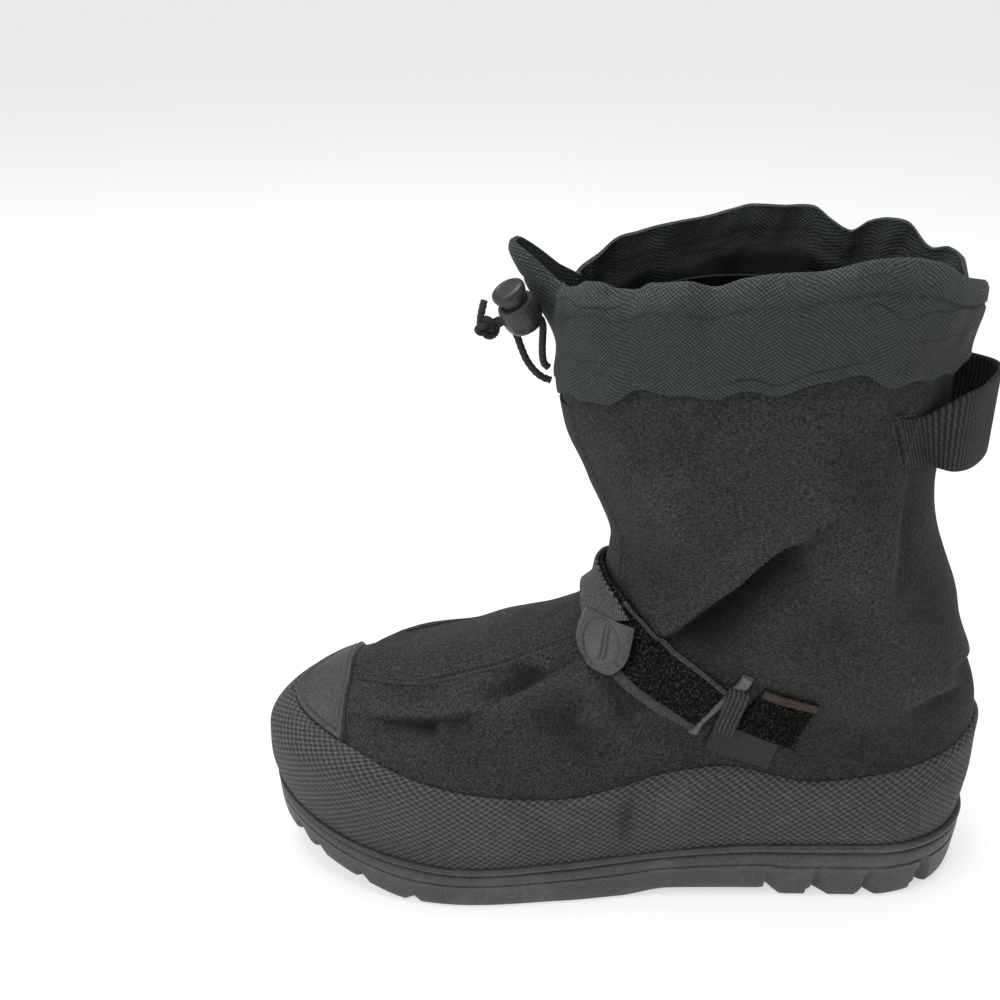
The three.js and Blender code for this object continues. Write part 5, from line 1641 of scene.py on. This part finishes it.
@dataclass
class InstepStrap:
    """The strap over the instep with its moulded tip, bar, tabs and bare label.

    Attributes:
        thick: Thickness of its webs.
    """

    thick: float = 1.9

    def webs(self, wear: Wardrobe) -> None:
        """All the flat webs."""
        web_piece("strap_web", STRAP_PATH, WEB_WIDTH, self.thick, wear["loop_pile"], ["strap"], 420,
                  across=44, pile=0.4)
        for name, width, aside in (("strap_edge_upper", 4.6, 11.4), ("strap_edge_lower", 2.4, -12.4)):
            web_piece(name, STRAP_PATH[:5], width, 1.1, wear["edge_web"], (), 160, 0.0, aside, 0.45)
        web_piece("over_strap_web", OVER_PATH, WEB_WIDTH - 2, self.thick, wear["flat_web"],
                  ["over_strap"], 140)
        web_piece("anchor_web", ANCHOR_PATH, WEB_WIDTH, self.thick, wear["loop_pile"],
                  ["strap_anchor"], 110, across=44, pile=0.45)
        web_piece("anchor_edge", ANCHOR_PATH, 4.2, 1.1, wear["brown_web"], (), 60, 0.0, 11.4,
                  0.5)
        web_piece("ribbed_web", RIBBED_PATH, WEB_WIDTH, self.thick, wear["ribbed_web"],
                  ["ribbed_tab"], 24)
        web_piece("slot_ring_bar", RING_PATH, 5, 2.4, wear["grey_plastic"], ["slot_ring"], 60,
                  0.5)
        web_piece("label_patch", LABEL_PATH, 18, 0.7, wear["label_cloth"], ["label"], 40)
        web_piece("buckle_tab_web", TAB_PATH, WEB_WIDTH + 4, self.thick, wear["ribbed_web"],
                  ["buckle_tab"], 60)
        self.label_sewing(wear)

    def label_sewing(self, wear: Wardrobe) -> None:
        """A sewn line just inside the bare label's border."""
        ribbon = Ribbon(LABEL_PATH, 60)
        side = np.array([-7.8, 7.8])
        turn, step = ribbon.places(side)
        rows = []
        for column in (0, 1):
            line = cloth(turn[:, column], step[:, column], 1.15)
            rows.append(stitches_along(line, outward(skin, turn[:, column], step[:, column]), 1.9, thick=0.6))
        make_piece("label_stitching", joined(rows), wear["thread"])

    def tip(self, wear: Wardrobe) -> None:
        """The moulded tip.

        Its top is a dome with a sunk oval, two long grooves in it and short ridges round its free end,
        each a depth added over the place along and across.
        """
        ribbon = Ribbon(TIP_PATH, 150)
        share = ribbon.run / ribbon.run[-1]
        width = 25.5 * np.sqrt(np.maximum(0.0016, 1 - (1.05 * (1 - share) - 0.05).clip(0) ** 4))
        count = 100
        across = np.concatenate([np.linspace(-1, 1, count), np.linspace(1, -1, 16)[1:-1]])
        top = np.arange(len(across)) < count
        side = across[None] * width[:, None] / 2
        along = ribbon.run[:, None] + 0 * side
        middle = 0.54 * ribbon.run[-1]
        reach = ((along - middle) / (0.43 * ribbon.run[-1])) ** 2 + (side / 8.2) ** 2
        sunk = 0.75 * (1 - smoothstep(0.86, 1.0, reach))
        bead = 0.3 * bell(reach - 1.06, 0.05)
        inside = 1 - smoothstep(0.55, 0.8, reach)
        grooves = sum(0.6 * bell(side - at, 0.4) for at in (-2.9, -0.9)) * inside
        angle = np.arctan2(side, middle - along)
        ends = smoothstep(1.12, 1.3, reach) * (1 - smoothstep(middle - 4, middle, along))
        ridges = 0.45 * np.maximum(0, np.sin(17 * angle)) * ends
        dome = 1.5 * (1 - np.abs(across[None]) ** 7) * np.minimum(1, 0.35 + along / 5)
        down = np.where(top, 1.7 - dome + sunk - bead + grooves + ridges, 2.6)
        turn, step = ribbon.places(side)
        points = cloth(turn, step, ribbon.top[:, None] - down, creased=False)
        shape = lattice(points, wrap_cols=True, caps=True)
        make_piece("strap_tip_moulded", shape, wear["tip_plastic"], ["strap_tip"], sharp=55)

    def build(self, wear: Wardrobe) -> None:
        """Builds all of it."""
        self.webs(wear)
        self.tip(wear)
        for node in ("buckle_socket", "buckle_ladder"):
            dress(node, wear["moulded_plastic"])


@dataclass
class PullLoop:
    """The ribbed webbing loop behind the shaft.

    Attributes:
        free: Low and high edge of each row of the loop's free run, in millimetres.
        sewn: Turn and step of the low and high edge of the rows sewn to the inner side.
        sewn_end: The same on the outer side.
    """

    free: tuple = (
        ((-14, 29.5, 208), (-13, 29.5, 240)),
        ((-26, 18, 206), (-25, 18, 241)),
        ((-35.5, 1, 207), (-35, 1, 243)),
        ((-30, -15, 209), (-29.5, -15, 242)),
        ((-18, -27, 210), (-17, -27, 241)),
    )
    sewn: tuple = (((134, 10.5), (127, 10.97)), ((146, 10.48), (139, 10.97)))
    sewn_end: tuple = (((214, 10.45), (221, 10.97)), ((226, 10.5), (233, 10.97)))
    thick: float = 1.8

    def build(self, wear: Wardrobe) -> None:
        """The loop: two edges as smooth lines, with a rounded web between them."""
        def fixed(rows: tuple) -> Array:
            """Points of rows that lie on the boot."""
            turn, step = np.moveaxis(np.array(rows, float), -1, 0)
            return cloth(np.radians(turn), step, 1.3, creased=False)

        rows = np.concatenate([fixed(self.sewn), np.array(self.free, float), fixed(self.sewn_end)])
        low, high = spline(rows[:, 0], 120), spline(rows[:, 1], 120)
        ahead = unit(np.gradient(low, axis=0) + np.gradient(high, axis=0))
        out = unit(np.cross(high - low, ahead))
        side, down = web_section(np.linalg.norm(high - low, axis=1).mean(), self.thick, 20, 0.0)
        share = side / (side.max() - side.min()) + 0.5
        points = low[:, None] + (high - low)[:, None] * share[None, :, None]
        points = points + out[:, None] * (self.thick / 2 - down)[None, :, None]
        run = lengths((low + high) / 2)
        uv = np.stack(np.meshgrid(run, np.append(side, side[0]), indexing="ij"), -1) * MM
        make_piece("pull_loop_web", lattice(points, uv, wrap_cols=True, caps=True), wear["loop_web"],
                   ["pull_loop"])
        self.sewing(wear)

    def sewing(self, wear: Wardrobe) -> None:
        """The triangle of stitches that holds each end of the loop."""
        rows = []
        for side in (1, -1):
            corners = [(124 * side, 10.98), (136 * side, 11.0), (131 * side, 10.5), (124 * side, 10.98)]
            for start, end in zip(corners[:-1], corners[1:]):
                rows.append(stitches_on([start, end], 2.2, 2.4, thick=1.0))
        make_piece("pull_loop_stitching", joined(rows), wear["thread"])


LOCK_BASE = np.array([152.475, 2.9, 256.012])
LOCK_AXIS = np.array([0.4471, 0.2521, 0.8582])
LOOP_ROUTE = LOCK_BASE + np.array([
    [-9.2, -2.36, -23], [-5.6, -2.5, -21.7], [-2.2, -2.6, -18.9], [0.9, -3.5, -14.8], [3.1, -5, -10.3],
    [4.8, -6.9, -6.2], [6.9, -8.6, -2.9], [9.6, -8.9, -0.6], [12, -7.3, 0.6], [13.4, -4.9, 0.7],
])
TAIL_ROUTE = LOCK_BASE + np.array([
    [-8.1, -1.3, -17.2], [-6.3, -1.2, -15.4], [-5.6, -1.1, -12.5], [-5.4, -0.8, -8], [-5.5, -0.5, -3.5],
    [-5.5, 0.1, 0.4], [-4.7, 1, 3.4], [-2.5, 1.64, 5.6], [0.5, 1.88, 6.4], [3, 1.7, 5.8], [6, 1.29, 4.4],
    [9, 0.85, 2.9], [11.1, 0.53, 1.8], [13.5, 0.4, 0.4], [15.8, 0.3, -1], [18.1, 0.1, -1.2], [19.3, 0, 0.8],
    [19.2, 0, 4], [18.5, 0.1, 7.6], [17.8, 0.2, 10.6],
])
KNOT = LOCK_BASE + np.array([16.6, 0.3, -0.4])
CORD = 3.0


def lock_frame() -> tuple[Array, Array, Array]:
    """The lock's own directions: up its axis, out to the front across it, and to its side."""
    up = LOCK_AXIS / np.linalg.norm(LOCK_AXIS)
    front = unit(np.array([1.0, 0, 0]) - up * up[0])
    return up, front, np.cross(up, front)


def turned(profile: Sequence[tuple[float, float]], sides: int, fluted: tuple[float, float, float]) -> Shape:
    """A closed body turned round the lock's axis.

    Args:
        profile: Radius and height of each corner, from the axis round to the axis.
        sides: How many sides the body has round the axis.
        fluted: Depth of the ridges round it, their lowest height and their highest.

    Returns:
        The body, its sides bent in and out by a rounded wave between the two heights.
    """
    corners = np.array(profile, float)
    shares = np.linspace(0, 1, 4, endpoint=False)[:, None]
    rows = [a + (b - a) * shares for a, b in zip(corners[:-1], corners[1:])]
    line = np.concatenate(rows + [corners[-1:]])
    angle = np.linspace(0, 2 * np.pi, sides, endpoint=False)
    depth, low, high = fluted
    wave = np.abs(np.sin(angle * 16))
    held = smoothstep(low - 0.3, low, line[:, 1]) * (1 - smoothstep(high, high + 0.3, line[:, 1]))
    held = held * (line[:, 0] > 0.6 * corners[:, 0].max())
    radius = line[:, 0][:, None] + depth * (wave[None] - 1) * held[:, None]
    up, front, side = lock_frame()
    round_it = np.cos(angle)[None, :, None] * front + np.sin(angle)[None, :, None] * side
    points = LOCK_BASE + up * line[:, 1][:, None, None] + radius[..., None] * round_it
    return lattice(points[1:-1], wrap_cols=True, caps=True)


@dataclass
class CordLock:
    """The drawcord with its sprung lock.

    Attributes:
        braid: Depth of the braid's bumps.
        grip: Radius and height of the corners of the button's ridged ring.
        flutes: Depth, lowest and highest height of its ridges.
    """

    braid: float = 0.16
    grip: tuple = (
        (0, 17.2), (6.2, 17.2), (6.95, 17.4), (6.95, 18.8), (6.5, 19.6), (5.6, 20.2), (4.8, 20.3),
        (4.4, 19.98), (0, 19.98),
    )
    flutes: tuple[float, float, float] = (0.36, 17.5, 18.9)

    def strand(self, path: Array) -> Shape:
        """A round cord with braided bumps: two spirals of waves crossing round it."""
        side, lift = frames_along(path)
        run = lengths(path)
        angle = np.linspace(0, 2 * np.pi, 20, endpoint=False)
        one = np.sin(4 * angle[None] + run[:, None] * 2.6)
        two = np.sin(4 * angle[None] - run[:, None] * 2.6)
        radius = CORD / 2 + self.braid * (np.maximum(one, two) - 0.75)
        flat = np.cos(angle)[None, :, None] * side[:, None] + np.sin(angle)[None, :, None] * lift[:, None]
        points = path[:, None] + radius[..., None] * flat
        return lattice(points, wrap_cols=True, caps=True)

    def cords(self, wear: Wardrobe) -> None:
        """Both cords as round braids, each from inside the collar's hem to the knot beyond the lock."""
        knot = self.knot(wear)
        for name, route, node, slot in (("drawcord_loop", LOOP_ROUTE, "cord_loop", "cord_loop"),
                                        ("drawcord_tail", TAIL_ROUTE, "drawcord", "drawcord")):
            path = evenly(spline(route, 600), 260)
            piece = make_piece(name, self.strand(path), wear["cord_braid"], [node])

    def knot(self, wear: Wardrobe) -> bpy.types.Object:
        """The overhand knot as a closed cord that turns three times through itself."""
        run = np.linspace(0, 2 * np.pi, 181)[:-1]
        wide = 2.7 + 1.15 * np.cos(3 * run)
        ring = np.stack([wide * np.cos(2 * run), wide * np.sin(2 * run), 1.3 * np.sin(3 * run)], -1)
        up, front, side = lock_frame()
        path = KNOT + ring[:, :1] * front + ring[:, 1:2] * up + ring[:, 2:] * side
        path = np.vstack([path, path[:1]])
        ahead = unit(np.roll(path[:-1], -1, 0) - np.roll(path[:-1], 1, 0))
        one = unit(np.cross(ahead, side))
        two = np.cross(ahead, one)
        angle = np.linspace(0, 2 * np.pi, 16, endpoint=False)
        radius = CORD / 2 + self.braid * (np.sin(4 * angle[None] + 50 * run[:, None]) - 0.5)
        flat = np.cos(angle)[None, :, None] * one[:, None] + np.sin(angle)[None, :, None] * two[:, None]
        points = path[:-1, None] + radius[..., None] * flat
        shape = lattice(points, wrap_rows=True, wrap_cols=True)
        return make_piece("drawcord_knot", shape, wear["cord_braid"])

    def build(self, wear: Wardrobe) -> None:
        """Builds all of it."""
        self.cords(wear)
        dress("cord_lock_barrel", wear["moulded_plastic"])
        dress("cord_lock_button", wear["moulded_plastic"])
        grip = turned(self.grip, 128, self.flutes)
        make_piece("cord_lock_button_grip", grip, wear["moulded_plastic"],
                   body=BUTTON_BODY)


@dataclass(frozen=True)
class Studio:
    """Floor, lights and camera.

    Attributes:
        eye: Place of the camera, metres.
        pitch: How far it looks down, degrees.
        yaw: How far it is turned from straight across the boot, degrees.
        lens: Focal length for a 36 mm wide sensor.
        glow: How much light the floor gives by itself.
        sky: How strong the even light all round is.
    """

    eye: tuple[float, float, float] = (0.1463, 0.4442, 0.3930)
    pitch: float = 25.8
    yaw: float = -2.3
    lens: float = 41.4
    glow: float = 0.6
    sky: float = 0.42

    def camera(self) -> None:
        """The camera at the photograph's angle."""
        data = bpy.data.cameras.new("camera")
        data.lens = self.lens
        data.sensor_width = 36
        data.clip_start = 0.01
        thing = bpy.data.objects.new("camera", data)
        bpy.context.scene.collection.objects.link(thing)
        pitch, yaw = np.radians(self.pitch), -np.radians(self.yaw)
        turned = np.array([[np.cos(yaw), -np.sin(yaw), 0], [np.sin(yaw), np.cos(yaw), 0], [0, 0, 1]])
        forward = turned @ [0, -np.cos(pitch), -np.sin(pitch)]
        right = turned @ [-1.0, 0, 0]
        up = np.cross(right, forward)
        matrix = np.eye(4)
        matrix[:3, :3] = np.column_stack([right, up, -forward])
        matrix[:3, 3] = self.eye
        thing.matrix_world = Matrix(matrix.tolist())
        bpy.context.scene.camera = thing

    def floor(self) -> None:
        """A wide pale floor, lit evenly enough to look white to its far edge."""
        mesh = bpy.data.meshes.new("studio_floor")
        far = 60.0
        mesh.from_pydata([(-far, -far, 0), (far, -far, 0), (far, far, 0), (-far, far, 0)], [], [(0, 1, 2, 3)])
        made = bpy.data.materials.new("studio_floor")
        made.use_nodes = True
        shader = made.node_tree.nodes["Principled BSDF"]
        shader.inputs["Base Color"].default_value = (0.5, 0.5, 0.5, 1)
        shader.inputs["Emission Color"].default_value = (1, 1, 0.995, 1)
        shader.inputs["Emission Strength"].default_value = self.glow
        shader.inputs["Roughness"].default_value = 0.9
        shader.inputs["Specular IOR Level"].default_value = 0.1
        mesh.materials.append(made)
        thing = bpy.data.objects.new("studio_floor", mesh)
        bpy.context.scene.collection.objects.link(thing)

    def lamp(self, name: str, place: tuple, aim: tuple, size: float, power: float) -> None:
        """One soft square lamp that looks at a point."""
        data = bpy.data.lights.new(name, "AREA")
        data.size = size
        data.energy = power
        thing = bpy.data.objects.new(name, data)
        thing.location = place
        way = Vector(aim) - Vector(place)
        thing.rotation_euler = way.to_track_quat("-Z", "Y").to_euler()
        bpy.context.scene.collection.objects.link(thing)

    def light(self) -> None:
        """Plain soft studio light."""
        world = bpy.data.worlds.new("studio")
        world.use_nodes = True
        sky = world.node_tree.nodes["Background"]
        sky.inputs[0].default_value = (1.0, 1.0, 1.0, 1)
        sky.inputs[1].default_value = self.sky
        bpy.context.scene.world = world
        self.lamp("lamp_over", (0.35, -0.1, 1.9), (0.08, 0, 0.1), 1.3, 26)
        self.lamp("lamp_near", (1.1, 0.9, 1.3), (0.1, 0, 0.12), 0.9, 9)
        bpy.context.scene.view_settings.view_transform = "Standard"

    def build(self) -> None:
        """Builds all of it."""
        self.camera()
        self.floor()
        self.light()


def main() -> None:
    """Builds the studio and every part of the boot."""
    logging.basicConfig(level=logging.INFO, format="%(message)s")
    Studio().build()
    wear = Wardrobe()
    for part in (CordLock(), Upper(), Sole(), Rand(), Collar(), InstepStrap(), PullLoop()):
        LOG.info("building %s", type(part).__name__)
        part.build(wear)


if __name__ == "__main__":
    main()
